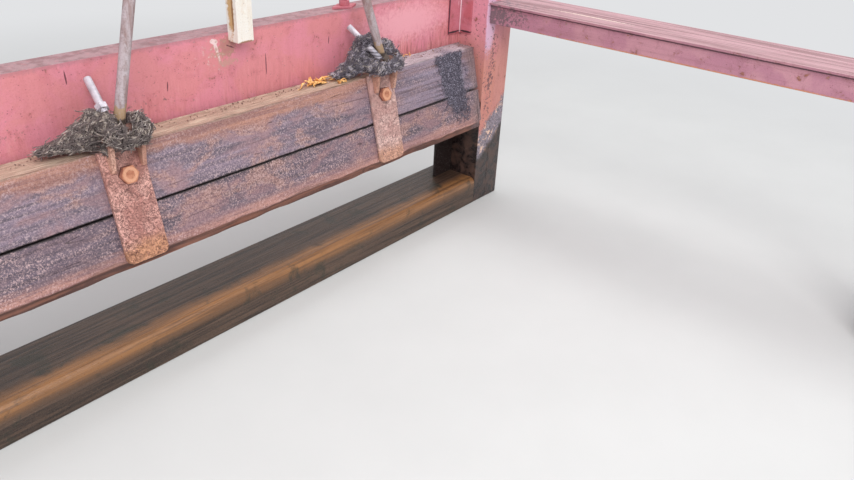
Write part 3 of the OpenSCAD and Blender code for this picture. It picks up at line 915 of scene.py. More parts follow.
@dataclass(frozen=True)
class BoltHead(Look):
    """A rusted bolt head, with a pale rim round its face as painted highlight, painted shade on its sides,
    and painted shadow over dark rust at its root.

    Attributes:
        space: The leaf's own frame.
        node: The bolt that it is for.
    """

    space: LeafSpace
    node: str

    def build(self) -> Finish:
        """Makes the material.

        Returns:
            The finished material.
        """
        back = self.space.matrix.inverted()
        spots = [back @ v.co for v in bpy.data.objects[self.node].data.vertices]
        face = min(p.y for p in spots)
        head = [p for p in spots if p.y < face + 0.001]
        middle = sum(head, Vector()) / len(head)
        reach = max((p - middle).length for p in head)
        centre = self.space.matrix @ middle
        g = Graph(self.name, centre, self.space.turn)
        grit = g.noise(300, 3, 0.8)
        cloud = g.noise(60, 4, 0.7)
        span = (1.0 - g.spot(centre, (reach * 1.3, 9, reach * 1.3))) * 1.3 + cloud.centred(0.25)
        depth = g.axis("Y") + cloud.centred(0.004)
        # Painted shade: the sides are darker than the face, and darker still at the root, where painted
        # shadow lies over dark rust.
        side = cloud.tones(0.40, 0.60, (150, 96, 82), (198, 134, 112))
        side = g.mix(depth.ease(0.009, 0.017, 0, 0.85), side, (84, 52, 54))
        top = cloud.tones(0.40, 0.60, (176, 112, 86), (204, 140, 110))
        # Painted highlight: a pale rim round the face, on its chamfer.
        top = g.mix(span.ease(0.40, 0.54) * span.ease(0.86, 0.74), top, (222, 164, 132))
        g.colour = depth.tones(0.0045, 0.0020, side, top)
        g.coat(grit.ease(0.52, 0.70, 0, 0.4), (128, 80, 70))
        return g.finish(grit.ease(0.3, 0.7, 0.6, 0.85), g.bumps((grit, 0.0008)), gloss=0.3)


@dataclass(frozen=True)
class Rubbish(Look):
    """Dead twigs, weed and leaves, varied from strand to strand.

    Attributes:
        dark: Colour of most of it.
        light: Colour of the driest strands.
        lit: Share of dry strands, 0 to 1.
        scale: How finely the two colours change.
    """

    dark: Colour
    light: Colour
    lit: float
    scale: float = 60.0

    def build(self) -> Finish:
        """Makes the material.

        Returns:
            The finished material.
        """
        g = Graph(self.name)
        strand = g.noise(self.scale, 4, 0.7)
        grit = g.noise(320, 3, 0.8)
        g.colour = strand.tones(0.62 - 0.25 * self.lit, 0.74 - 0.2 * self.lit, self.dark, self.light)
        g.coat(grit.ease(0.5, 0.75, 0, 0.5), self.dark)
        return g.finish(strand.ease(0.3, 0.7, 0.6, 0.85), g.bumps((grit, 0.0004)), gloss=0.3)


@dataclass(frozen=True)
class SunkTimber(Look):
    """The sill's dark wet timber with an orange-brown worn lip."""

    def build(self) -> Finish:
        """Makes the material.

        Returns:
            The finished material.
        """
        g = Graph(self.name)
        grain = g.noise(1.0, 7, 0.7, 0.4, size=(0.4, 0.012, 0.012))
        patch = g.noise(9, 6, 0.65, 0.5)
        grit = g.noise(180, 4, 0.75)
        g.colour = grain.tones(0.36, 0.64, (48, 36, 31), (98, 76, 62))
        brow = g.axis("Y") + patch.centred(0.06)
        lip = brow.ease(-0.030, -0.085) * g.axis("Z").ease(0.060, 0.110)
        g.coat(lip * 0.9, grain.tones(0.40, 0.60, (166, 116, 72), (122, 84, 54)))
        g.coat(patch.ease(0.54, 0.68, 0, 0.75), (50, 48, 38))
        g.coat(grit.ease(0.54, 0.72, 0, 0.4), (132, 110, 90))
        return g.finish(grit.ease(0.3, 0.7, 0.25, 0.5), g.bumps((grain, 0.003), (grit, 0.0010)))


def link(name: str, data: bpy.types.ID) -> Piece:
    """Puts a new object with the given data in the scene.

    Args:
        name: The object's name.
        data: Its mesh, lamp or camera.

    Returns:
        The object.
    """
    piece = bpy.data.objects.new(name, data)
    bpy.context.scene.collection.objects.link(piece)
    return piece


def settled(piece: Piece) -> Mesh:
    """A piece's mesh as its modifiers leave it."""
    seen = piece.evaluated_get(bpy.context.evaluated_depsgraph_get())
    return bpy.data.meshes.new_from_object(seen)


def coat_mesh(mesh: Mesh, material: Finish) -> None:
    """Makes a finish a mesh's only one."""
    mesh.materials.clear()
    mesh.materials.append(material)


def spill(work: bmesh.types.BMesh, name: str) -> Mesh:
    """Turns an edited mesh into a new plain one and frees it.

    Args:
        work: The edited mesh.
        name: The plain mesh's name.

    Returns:
        The plain mesh.
    """
    mesh = bpy.data.meshes.new(name)
    work.to_mesh(mesh)
    work.free()
    return mesh


def push(piece: Piece, label: str, size: float, layers: int, level: float, strength: float) -> None:
    """Pushes a surface in and out by cloudy noise.

    Args:
        piece: The piece.
        label: The modifier's name.
        size: Size of the clouds, in metres.
        layers: How many finer layers they have.
        level: The share of the noise that leaves the surface where it is.
        strength: How far the whole noise moves it, in metres.
    """
    cloud = bpy.data.textures.new(piece.name + "_" + label, "CLOUDS")
    cloud.noise_scale = size
    cloud.noise_depth = layers
    wave = piece.modifiers.new(label, "DISPLACE")
    wave.texture = cloud
    wave.mid_level = level
    wave.strength = strength


def tube(rings: int, sides: int) -> list[tuple[int, ...]]:
    """The faces between rings of points, as point numbers.

    Args:
        rings: How many rings there are.
        sides: How many points each has.

    Returns:
        The faces.
    """
    pairs = [(j, (j + 1) % sides) for j in range(sides)]
    return [(low + j, low + k, low + sides + k, low + sides + j)
            for low in range(0, (rings - 1) * sides, sides) for j, k in pairs]


def add_mesh(name: str, points: Sequence[Vector], faces: Sequence[Sequence[int]],
             material: Finish, sharp: float = 40.0) -> Piece:
    """Makes a smooth-shaded object from points and faces, with its faces turned outwards.

    Args:
        name: The piece's name.
        points: The points, in the gate's frame.
        faces: The faces, as point numbers.
        material: The finish.
        sharp: The angle past which an edge stays sharp, in degrees.

    Returns:
        The object.
    """
    mesh = bpy.data.meshes.new(name)
    mesh.from_pydata([tuple(p) for p in points], [], faces)
    work = bmesh.new()
    work.from_mesh(mesh)
    bmesh.ops.remove_doubles(work, verts=work.verts, dist=1e-6)
    bmesh.ops.recalc_face_normals(work, faces=work.faces)
    work.to_mesh(mesh)
    work.free()
    mesh.polygons.foreach_set("use_smooth", [True] * len(mesh.polygons))
    mesh.set_sharp_from_angle(angle=math.radians(sharp))
    mesh.materials.append(material)
    return link(name, mesh)


def seat(piece: Piece, body: Body = Body.LEAF) -> None:
    """Lets a piece ride on its body.

    Args:
        piece: The piece.
        body: The body that carries it.
    """
    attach(piece, body.value)
    LOG.info("%s rides on %s, %d faces", piece.name, body.value, len(piece.data.polygons))


def dress(node: str, material: Finish, bevel: float = 1.5) -> None:
    """Gives a solid its finish and softens its edges.

    Args:
        node: The solid's name.
        material: The finish.
        bevel: Width of the softened edges, in millimetres.
    """
    solid = frame["nodes"][node]
    coat_mesh(solid.data, material)
    weld = solid.modifiers.new("join_faces", "WELD")
    weld.merge_threshold = 1e-5
    soft = solid.modifiers.new("soft_edges", "BEVEL")
    soft.width = bevel * MM
    soft.segments = 2
    soft.limit_method = "ANGLE"
    soft.angle_limit = math.radians(40)
    soft.harden_normals = True
    LOG.info("%s dressed in %s", node, material.name)


def corrode(node: str, material: Finish, depth: float = 1.8, grid: float = 1.8) -> None:
    """Gives an iron solid its finish and eats pits and ragged edges into it.

    Args:
        node: The solid's name.
        material: The finish.
        depth: Depth of the deepest pits, in millimetres.
        grid: Size of the new faces, in millimetres.
    """
    solid = frame["nodes"][node]
    coat_mesh(solid.data, material)
    remesh = solid.modifiers.new("even_faces", "REMESH")
    remesh.mode = "VOXEL"
    remesh.voxel_size = grid * MM
    remesh.use_smooth_shade = True
    for label, size, share in (("scabs", 0.022, 0.5), ("pits", 0.0055, 0.7)):
        push(solid, label, size, 2, 0.25, -depth * share * MM)
    LOG.info("%s corroded in %s", node, material.name)


class NodeTool:
    """A geometry-node tree with named inputs, applied to an object and turned into a plain mesh."""

    KINDS = {"Way": "NodeSocketVector", "Seed": "NodeSocketInt", "Material": "NodeSocketMaterial"}

    def __init__(self, name: str, *labels: str) -> None:
        """Makes the empty tree.

        Args:
            name: The tree's name.
            labels: The names of its inputs.
        """
        self.tree = bpy.data.node_groups.new(name, "GeometryNodeTree")
        face = self.tree.interface
        face.new_socket(name="Geometry", in_out="INPUT", socket_type="NodeSocketGeometry")
        self.keys = {}
        for label in (*labels, "Material"):
            kind = self.KINDS.get(label, "NodeSocketFloat")
            self.keys[label] = face.new_socket(name=label, in_out="INPUT", socket_type=kind).identifier
        face.new_socket(name="Geometry", in_out="OUTPUT", socket_type="NodeSocketGeometry")
        self.given = self.tree.nodes.new("NodeGroupInput").outputs
        self.end = self.tree.nodes.new("NodeGroupOutput")

    def node(self, kind: str, feeds: Optional[dict[Union[str, int], object]] = None,
             **settings: object) -> Node:
        """Adds a node.

        Args:
            kind: The node's type.
            feeds: Values, sockets or nodes for its inputs, by name or number.
            settings: Its own settings.

        Returns:
            The node.
        """
        node = self.tree.nodes.new(kind)
        for key, value in settings.items():
            setattr(node, key, value)
        for key, value in (feeds or {}).items():
            if isinstance(value, Node):
                value = value.outputs[0]
            if isinstance(value, Socket):
                self.tree.links.new(value, node.inputs[key])
            else:
                node.inputs[key].default_value = value
        return node

    def times(self, one: object, two: object) -> Node:
        """The product of two numbers."""
        return self.node("ShaderNodeMath", {0: one, 1: two}, operation="MULTIPLY")

    def chance(self, seed: object, low: object, high: object) -> Socket:
        """A random number for each point, from low to high."""
        drawn = self.node("FunctionNodeRandomValue", {"Seed": seed, 2: low, 3: high}, data_type="FLOAT")
        return drawn.outputs[1]

    def scatter(self) -> Node:
        """Points scattered over the faces of the mesh that is worked on."""
        return self.node("GeometryNodeDistributePointsOnFaces", {
            "Mesh": self.given["Geometry"], "Density": self.given["Density"], "Seed": self.given["Seed"]})

    def copies(self, points: Node, shape: Geometry, turn: object, size: object) -> Node:
        """One real copy of a shape at each point, turned and scaled.

        Args:
            points: The points.
            shape: The shape.
            turn: Each copy's rotation.
            size: Each copy's scale.

        Returns:
            The copies.
        """
        placed = self.node("GeometryNodeInstanceOnPoints", {
            "Points": points.outputs["Points"], "Instance": shape, "Rotation": turn, "Scale": size})
        return self.node("GeometryNodeRealizeInstances", {"Geometry": placed})

    def wobble(self, geometry: Geometry, scale: float, detail: float, reach: object) -> Node:
        """Moves points about by cloudy noise.

        Args:
            geometry: What is moved.
            scale: How fine the noise is.
            detail: How many finer layers it has.
            reach: How far the points move.

        Returns:
            The moved geometry.
        """
        wander = self.node("ShaderNodeTexNoise", {"Scale": scale, "Detail": detail}, noise_dimensions="3D")
        middle = self.node("ShaderNodeVectorMath", {0: wander.outputs["Color"], 1: (0.5, 0.5, 0.5)},
                           operation="SUBTRACT")
        bend = self.node("ShaderNodeVectorMath", {0: middle, "Scale": reach}, operation="SCALE")
        return self.node("GeometryNodeSetPosition", {"Geometry": geometry, "Offset": bend})

    def sweep(self, curve: Node, section: Node) -> Node:
        """A section swept along a curve, with closed ends."""
        ends = {"Curve": curve, "Profile Curve": section, "Fill Caps": True}
        return self.node("GeometryNodeCurveToMesh", ends)

    def close(self, geometry: Geometry) -> None:
        """Realizes the instances, sets the material and ends the tree.

        Args:
            geometry: What the tree gives.
        """
        real = self.node("GeometryNodeRealizeInstances", {"Geometry": geometry})
        skin = self.node("GeometryNodeSetMaterial", {"Geometry": real, "Material": self.given["Material"]})
        self.tree.links.new(skin.outputs[0], self.end.inputs["Geometry"])

    def grow(self, name: str, base: Mesh, material: Finish,
             **values: object) -> Piece:
        """Runs the tree on a mesh.

        Args:
            name: The new piece's name.
            base: The mesh that the tree works on.
            material: The finish.
            values: The other inputs' values, by name.

        Returns:
            A plain mesh object.
        """
        work = link(name + "_base", base)
        modifier = work.modifiers.new("grow", "NODES")
        modifier.node_group = self.tree
        for label, value in values.items():
            modifier[self.keys[label]] = value
        modifier[self.keys["Material"]] = material
        mesh = settled(work)
        bpy.data.objects.remove(work)
        mesh.name = name
        return link(name, mesh)


def twig_tool() -> NodeTool:
    """Bent strands scattered over a surface, lying along it and drawn back against it.

    Returns:
        The tool, with inputs for the strands' number, size, bend, spread, way, pull and seed.
    """
    tool = NodeTool("bent_strands", "Density", "Length", "Radius", "Bend", "Spread", "Way", "Pull", "Seed")
    given = tool.given
    points = tool.scatter()
    tail, tip = (tool.node("ShaderNodeCombineXYZ", {"Y": tool.times(given["Length"], share)})
                 for share in (-0.5, 0.5))
    line = tool.node("GeometryNodeCurvePrimitiveLine", {"Start": tail, "End": tip})
    fine = tool.node("GeometryNodeResampleCurve", {"Curve": line, "Count": 10})
    laid = tool.node("FunctionNodeAlignRotationToVector", {
        "Rotation": points.outputs["Rotation"], "Vector": given["Way"]}, axis="Y", pivot_axis="Z")
    swing = tool.chance(given["Seed"], tool.times(given["Spread"], -1.0), given["Spread"])
    angles = tool.node("ShaderNodeCombineXYZ", {"Z": swing})
    twist = tool.node("FunctionNodeEulerToRotation", {"Euler": angles})
    turn = tool.node("FunctionNodeRotateRotation", {"Rotation": laid, "Rotate By": twist},
                     rotation_space="LOCAL")
    curves = tool.copies(points, fine, turn, tool.chance(3, 0.35, 1.3))
    moved = tool.wobble(curves, 30.0, 2.0, given["Bend"])
    near = tool.node("GeometryNodeProximity", {0: given["Geometry"]}, target_element="FACES")
    drawn = tool.node("ShaderNodeMix", {
        "Factor": given["Pull"], 4: tool.node("GeometryNodeInputPosition"), 5: near.outputs["Position"]},
        data_type="VECTOR")
    hugged = tool.node("GeometryNodeSetPosition", {"Geometry": moved, "Position": drawn.outputs[1]})
    ring = tool.node("GeometryNodeCurvePrimitiveCircle", {"Resolution": 3, "Radius": given["Radius"]})
    tool.close(tool.sweep(hugged, ring))
    return tool


def flake_tool() -> NodeTool:
    """Small curled leaves or flakes scattered over a surface.

    Returns:
        The tool, with inputs for the flakes' number, size, width, curl, turn and seed.
    """
    tool = NodeTool("curled_flakes", "Density", "Size", "Width", "Curl", "Turn", "Seed")
    given = tool.given
    points = tool.scatter()
    disc = tool.node("GeometryNodeMeshIcoSphere", {"Radius": 1.0, "Subdivisions": 2})
    shape = tool.node("ShaderNodeCombineXYZ", {"X": 1.0, "Y": given["Width"], "Z": 0.06})
    flat = tool.node("GeometryNodeTransform", {"Geometry": disc, "Scale": shape})
    spin = tool.chance(given["Seed"], tool.times(given["Turn"], -1.0), given["Turn"])
    tip = tool.chance(8, -0.6, 0.6)
    turn = tool.node("ShaderNodeCombineXYZ", {"X": tip, "Y": tip, "Z": spin})
    real = tool.copies(points, flat, turn, tool.times(tool.chance(5, 0.5, 1.4), given["Size"]))
    tool.close(tool.wobble(real, 70.0, 1.0, given["Curl"]))
    return tool


def thread_tool() -> NodeTool:
    """A screw's thread: a square section swept along a helix.

    Returns:
        The tool, with inputs for the thread's radius, length, turns and section.
    """
    tool = NodeTool("square_thread", "Radius", "Length", "Turns", "Width", "Depth")
    given = tool.given
    helix = tool.node("GeometryNodeCurveSpiral", {
        "Resolution": 24, "Rotations": given["Turns"], "Start Radius": given["Radius"],
        "End Radius": given["Radius"], "Height": given["Length"]})
    block = tool.node("GeometryNodeCurvePrimitiveQuadrilateral", {
        "Width": given["Depth"], "Height": given["Width"]})
    upright = tool.node("GeometryNodeSetCurveNormal", {"Curve": helix}, mode="Z_UP")
    ridge = tool.sweep(upright, block)
    joined = tool.node("GeometryNodeJoinGeometry", {0: given["Geometry"]})
    tool.tree.links.new(ridge.outputs[0], joined.inputs[0])
    tool.close(joined)
    return tool


def ripple(x: float, y: float, z: float) -> float:
    """Smooth noise at a point, about -1 to 1."""
    return noise.noise(Vector((x, y, z)))


@dataclass
class LeafTimber:
    """The leaf's two planks, sculpted with grain, worn arrises and an eroded foot.

    Attributes:
        space: The leaf's own frame.
        upper_h: Height of the upper plank's face.
        lower_h: Height of the lower plank's face.
        chamfer: Chamfer of the meeting edges.
        lip_h: Height of the worn band at the foot.
        lip_t: Depth of the worn band.
        pocket_r: Radius of the nut pockets in the back.
        pocket_h: Depth of the nut pockets.
        pocket_drop: Distance from the top edge down to the bolts.
        pitch: Distance between sculpted points along the leaf.
        step: Distance between sculpted points round the plank.
        end_rings: How many rings of points cover each sawn end.
    """

    space: LeafSpace
    upper_h: float = 0.178
    lower_h: float = 0.168
    chamfer: float = 0.0045
    lip_h: float = 0.030
    lip_t: float = 0.012
    pocket_r: float = 0.037
    pocket_h: float = 0.040
    pocket_drop: float = 0.078
    pitch: float = 0.009
    step: float = 0.0045
    end_rings: int = 6

    def outline(self, upper: bool) -> list[tuple[float, float]]:
        """Corners of a plank's section, as depth and height.

        Args:
            upper: Whether it is the upper plank.

        Returns:
            The corners.
        """
        t = self.space.thickness
        c = self.chamfer
        slope = math.tan(self.space.lean)
        seam = -self.upper_h
        foot = seam - self.lower_h
        if upper:
            return [(0, 0), (t, t * slope), (t, seam + c), (t - c, seam), (c, seam), (0, seam + c)]
        return [(c, seam), (t - c, seam), (t, seam - c), (t, foot + t * slope),
                (self.lip_t, foot + self.lip_t * slope), (self.lip_t, foot + self.lip_h - self.lip_t),
                (0, foot + self.lip_h), (0, seam - c)]

    def ring(self, upper: bool) -> list[tuple[Vector, Vector]]:
        """Points round a plank's section, each with the way into the wood.

        Args:
            upper: Whether it is the upper plank.

        Returns:
            The points and the ways.
        """
        corners = [Vector(c) for c in self.outline(upper)]
        middle = sum(corners, Vector((0, 0))) / len(corners)
        points = []
        for one, two in zip(corners, corners[1:] + corners[:1]):
            count = max(2, round((two - one).length / self.step))
            side = (two - one).normalized()
            inward = Vector((-side.y, side.x))
            if inward.dot(middle - one) < 0:
                inward.negate()
            points += [(one.lerp(two, i / count), inward) for i in range(count)]
        return points

    def carve(self, x: float, at: Vector, inward: Vector) -> Vector:
        """Where the wood's surface lies.

        Args:
            x: Place along the leaf.
            at: Depth and height on the sound section.
            inward: The way into the wood.

        Returns:
            The carved point in the leaf's own frame.
        """
        depth, up = at
        grain = ripple(x * 2.2, depth * 70, up * 70)
        wave = ripple(x * 1.1 + 9, depth * 9, up * 9)
        sink = 0.0022 + 0.0010 * grain + 0.0012 * wave
        crest = max(0.0, 1 - abs(up) / 0.012) if depth < 0.02 else 0.0
        sink += crest * 0.004 * (0.6 + ripple(x * 14, 3, up * 30))
        foot = -self.upper_h - self.lower_h
        front = depth < self.lip_t + 0.004
        near = max(0.0, 1 - (up - foot) / 0.050) if front else 0.0
        sink += near * 0.006 * max(0.0, ripple(x * 11, 5, up * 26) + 0.35)
        drop = near * 0.007 * ripple(x * 7, 8, 0)
        end = max(0.0, 1 - (self.space.half - abs(x)) / 0.02)
        sink += end * end * 0.003
        brow = max(0.0, 1 - abs(up - foot - self.lip_h) / 0.028) if front else 0.0
        broken = brow * 0.016 * ripple(x * 5.5, 13, 0)
        broken += brow * 0.006 * ripple(x * 23, 2, 0)
        return Vector((x, depth + inward.x * sink, up + inward.y * sink + max(0.0, drop) + broken))

    def plank(self, name: str, upper: bool, material: Finish) -> Piece:
        """Sculpts one plank.

        Args:
            name: The piece's name.
            upper: Whether it is the upper plank.
            material: Its finish.

        Returns:
            The plank.
        """
        ring = self.ring(upper)
        count = round(2 * self.space.half / self.pitch)
        stations = [self.space.half * (2 * i / count - 1) for i in range(count + 1)]
        stations[0] += 0.001
        stations[-1] -= 0.001
        points = [self.carve(x, at, inward) for x in stations for at, inward in ring]
        n = len(ring)
        faces = tube(count + 1, n)
        for first, way in ((0, 1), (count * n, -1)):
            edge = points[first:first + n]
            middle = sum(edge, Vector()) / n
            last = first
            for k in range(1, self.end_rings):
                start = len(points)
                for p in edge:
                    q = p.lerp(middle, k / self.end_rings)
                    stands = 0.0025 * max(0.0, ripple(way, q.y * 110, q.z * 40) + 0.3)
                    points.append(q + Vector((way * stands, 0, 0)))
                faces += [(last + j, last + (j + 1) % n, start + (j + 1) % n, start + j) for j in range(n)]
                last = start
            points.append(middle)
            faces += [(last + j, last + (j + 1) % n, len(points) - 1) for j in range(n)]
        matrix = self.space.matrix
        return add_mesh(name, [matrix @ p for p in points], faces, material, 50)

    def sink_pocket(self, board: Piece, x: float) -> None:
        """Cuts the pocket that sinks a bolt's nut in the back.

        Args:
            board: The board.
            x: The bolt's place along the leaf.
        """
        past = 0.010
        depth = self.pocket_h + past
        middle = Vector((x, self.space.thickness + past - depth / 2, -self.pocket_drop))
        shape = self.space.matrix @ Matrix.Translation(middle) @ Matrix.Rotation(math.pi / 2, 4, "X")
        work = bmesh.new()
        bmesh.ops.create_cone(work, cap_ends=True, segments=48, radius1=self.pocket_r,
                              radius2=self.pocket_r, depth=depth, matrix=shape)
        cutter = link("pocket", spill(work, "pocket"))
        cut = board.modifiers.new("pocket", "BOOLEAN")
        cut.object = cutter
        cut.solver = "EXACT"
        whole = settled(board)
        board.modifiers.clear()
        board.data = whole
        bpy.data.objects.remove(cutter)

    def build(self) -> None:
        """Makes both planks."""
        upper_wood = WetPlank(
            "upper_wood", self.space, (140, 122, 138), (78, 69, 82), (152, 120, 126),
            (208, 182, 184), 0.78, 0.72, (142, 132, 152), 0.56, 1).build()
        lower_wood = WetPlank(
            "lower_wood", self.space, (118, 102, 116), (66, 57, 70), (140, 108, 114),
            (214, 182, 180), 0.90, 0.62, (104, 90, 104), -0.50, -1).build()
        upper = self.plank("upper_board", True, upper_wood)
        lower = self.plank("lower_board", False, lower_wood)
        for side in SIDES:
            low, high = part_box("strap_bolt_" + side)
            self.sink_pocket(upper, (low.x + high.x) / 2)
        for piece, node in ((upper, "upper_plank"), (lower, "lower_plank")):
            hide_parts(node)
            seat(piece)


@dataclass(frozen=True)
class RodPath:
    """The room that a lifting rod sweeps through, seen from the leaf as it swings.

    Attributes:
        pin: The middle of its hanger pin.
        slant: Its sideways run for each metre upwards.
        swing: The leaf's swing, in radians.
        room: The room to keep from its axis.
        height: How far above the pin the room is kept.
    """

    pin: Vector
    slant: float
    swing: float
    room: float = 0.0195
    height: float = 0.18

    @classmethod
    def read(cls, rod: str, pin_node: str) -> "RodPath":
        """Reads a rod's path from the gate.

        Args:
            rod: The rod's node.
            pin_node: The node of its hanger pin.

        Returns:
            The path.
        """
        low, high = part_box(pin_node)
        pin = (low + high) / 2
        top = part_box(rod)[1].z
        spots = [v.co for v in bpy.data.objects[rod].data.vertices]
        foot = [p.x for p in spots if p.z < pin.z + 0.03]
        head = [p.x for p in spots if p.z > top - 0.03]
        foot_x = sum(foot) / len(foot)
        slant = (sum(head) / len(head) - foot_x) / (top - pin.z)
        return cls(Vector((foot_x, pin.y, pin.z)), slant, math.radians(leaf_joint()["range_deg"][1]))

    def holds(self, spot: Vector) -> bool:
        """Whether a point lies in the rod's way.

        Args:
            spot: The point, in the gate's frame.

        Returns:
            True where it does.
        """
        away = spot - self.pin
        if not 0 < away.z < self.height or abs(away.x - away.z * self.slant) > self.room:
            return False
        return -self.room < away.y < away.z * math.tan(self.swing) + self.room

    def clear(self, mesh: Mesh) -> None:
        """Takes away every strand that has a point in the rod's way.

        Args:
            mesh: The strands.
        """
        work = bmesh.new()
        work.from_mesh(mesh)
        seen: set[int] = set()
        doomed = []
        for start in work.verts:
            if start.index in seen:
                continue
            seen.add(start.index)
            strand, ahead = [], [start]
            while ahead:
                point = ahead.pop()
                strand.append(point)
                for edge in point.link_edges:
                    other = edge.other_vert(point)
                    if other.index not in seen:
                        seen.add(other.index)
                        ahead.append(other)
            if any(self.holds(point.co) for point in strand):
                doomed += strand
        bmesh.ops.delete(work, geom=doomed, context="VERTS")
        work.to_mesh(mesh)
        work.free()


@dataclass
class Nest:
    """A mound of caught twigs and silt on a bracket.

    Attributes:
        name: The piece's name.
        lumps: The lumps that make it up: each one's middle and then its half lengths.
        path: The way of the rod that hangs in it.
        seed: Seed of its twigs.
        grid: Size of the mound's faces.
    """

    name: str
    lumps: tuple[tuple[float, ...], ...]
    path: RodPath
    seed: int
    grid: float = 0.0045

    def mound(self, level: float) -> Mesh:
        """The lumps, grown together and roughened.

        Args:
            level: How far the surface lies inside the lumps, 0.5 for not at all.

        Returns:
            The mound's mesh.
        """
        work = bmesh.new()
        for lump in self.lumps:
            shape = Matrix.Translation(lump[:3]) @ Matrix.Diagonal((*lump[3:], 1))
            bmesh.ops.create_icosphere(work, subdivisions=4, radius=1.0, matrix=shape)
        piece = link(self.name + "_lumps", spill(work, self.name + "_lumps"))
        remesh = piece.modifiers.new("grow_together", "REMESH")
        remesh.mode = "VOXEL"
        remesh.voxel_size = self.grid
        push(piece, "swell", 0.018, 3, level, 0.016)
        grown = settled(piece)
        bpy.data.objects.remove(piece)
        return grown

    def build(self, twigs: NodeTool, silt: Finish, bark: Finish,
              straw: Finish) -> None:
        """Makes the mound and its strands.

        Args:
            twigs: The tool that scatters strands.
            silt: Finish of the mound.
            bark: Finish of most strands.
            straw: Finish of the pale strands.
        """
        base = self.mound(0.5)
        grown = self.mound(0.85)
        coat_mesh(grown, silt)
        grown.polygons.foreach_set("use_smooth", [True] * len(grown.polygons))
        seat(link(self.name + "_silt", grown))
        area = sum(p.area for p in base.polygons)
        lays = (("twigs", 2300, 0.040, 0.0009, 0.020, 1.3, 0.52, bark),
                ("stems", 260, 0.080, 0.0015, 0.018, 0.7, 0.48, bark),
                ("straws", 520, 0.052, 0.0007, 0.022, 0.9, 0.50, straw))
        for i, (label, count, length, radius, bend, spread, pull, skin) in enumerate(lays):
            layer = twigs.grow(self.name + "_" + label, base.copy(), skin, Density=count / area,
                               Length=length, Radius=radius, Bend=bend, Spread=spread,
                               Way=(1.0, 0.0, 0.15), Pull=pull, Seed=self.seed + 7 * i)
            self.path.clear(layer.data)
            seat(layer)


LEFT_LUMPS = (
    (-0.702, -0.026, 0.738, 0.030, 0.016, 0.006), (-0.678, -0.034, 0.742, 0.036, 0.024, 0.013),
    (-0.648, -0.044, 0.750, 0.040, 0.030, 0.022), (-0.615, -0.060, 0.766, 0.042, 0.038, 0.036),
    (-0.588, -0.072, 0.790, 0.030, 0.034, 0.042), (-0.574, -0.104, 0.796, 0.028, 0.032, 0.034),
    (-0.567, -0.134, 0.776, 0.028, 0.026, 0.030), (-0.572, -0.090, 0.730, 0.014, 0.016, 0.018),
    (-0.530, -0.126, 0.746, 0.040, 0.018, 0.016), (-0.488, -0.120, 0.756, 0.024, 0.024, 0.026),
    (-0.478, -0.100, 0.780, 0.022, 0.030, 0.024), (-0.466, -0.092, 0.762, 0.018, 0.026, 0.028),
    (-0.480, -0.062, 0.764, 0.026, 0.030, 0.032), (-0.525, -0.044, 0.762, 0.055, 0.022, 0.034))
RIGHT_LUMPS = (
    (0.340, -0.036, 0.738, 0.035, 0.020, 0.010), (0.378, -0.048, 0.752, 0.036, 0.030, 0.024),
    (0.412, -0.058, 0.776, 0.034, 0.034, 0.042), (0.440, -0.054, 0.812, 0.032, 0.032, 0.046),
    (0.432, -0.070, 0.846, 0.024, 0.024, 0.020), (0.496, -0.032, 0.806, 0.044, 0.018, 0.050),
    (0.554, -0.060, 0.788, 0.026, 0.032, 0.046), (0.560, -0.094, 0.768, 0.022, 0.032, 0.034),
    (0.548, -0.122, 0.756, 0.022, 0.020, 0.022), (0.505, -0.128, 0.750, 0.036, 0.018, 0.018),
    (0.464, -0.124, 0.756, 0.026, 0.022, 0.024), (0.445, -0.100, 0.762, 0.024, 0.028, 0.028))


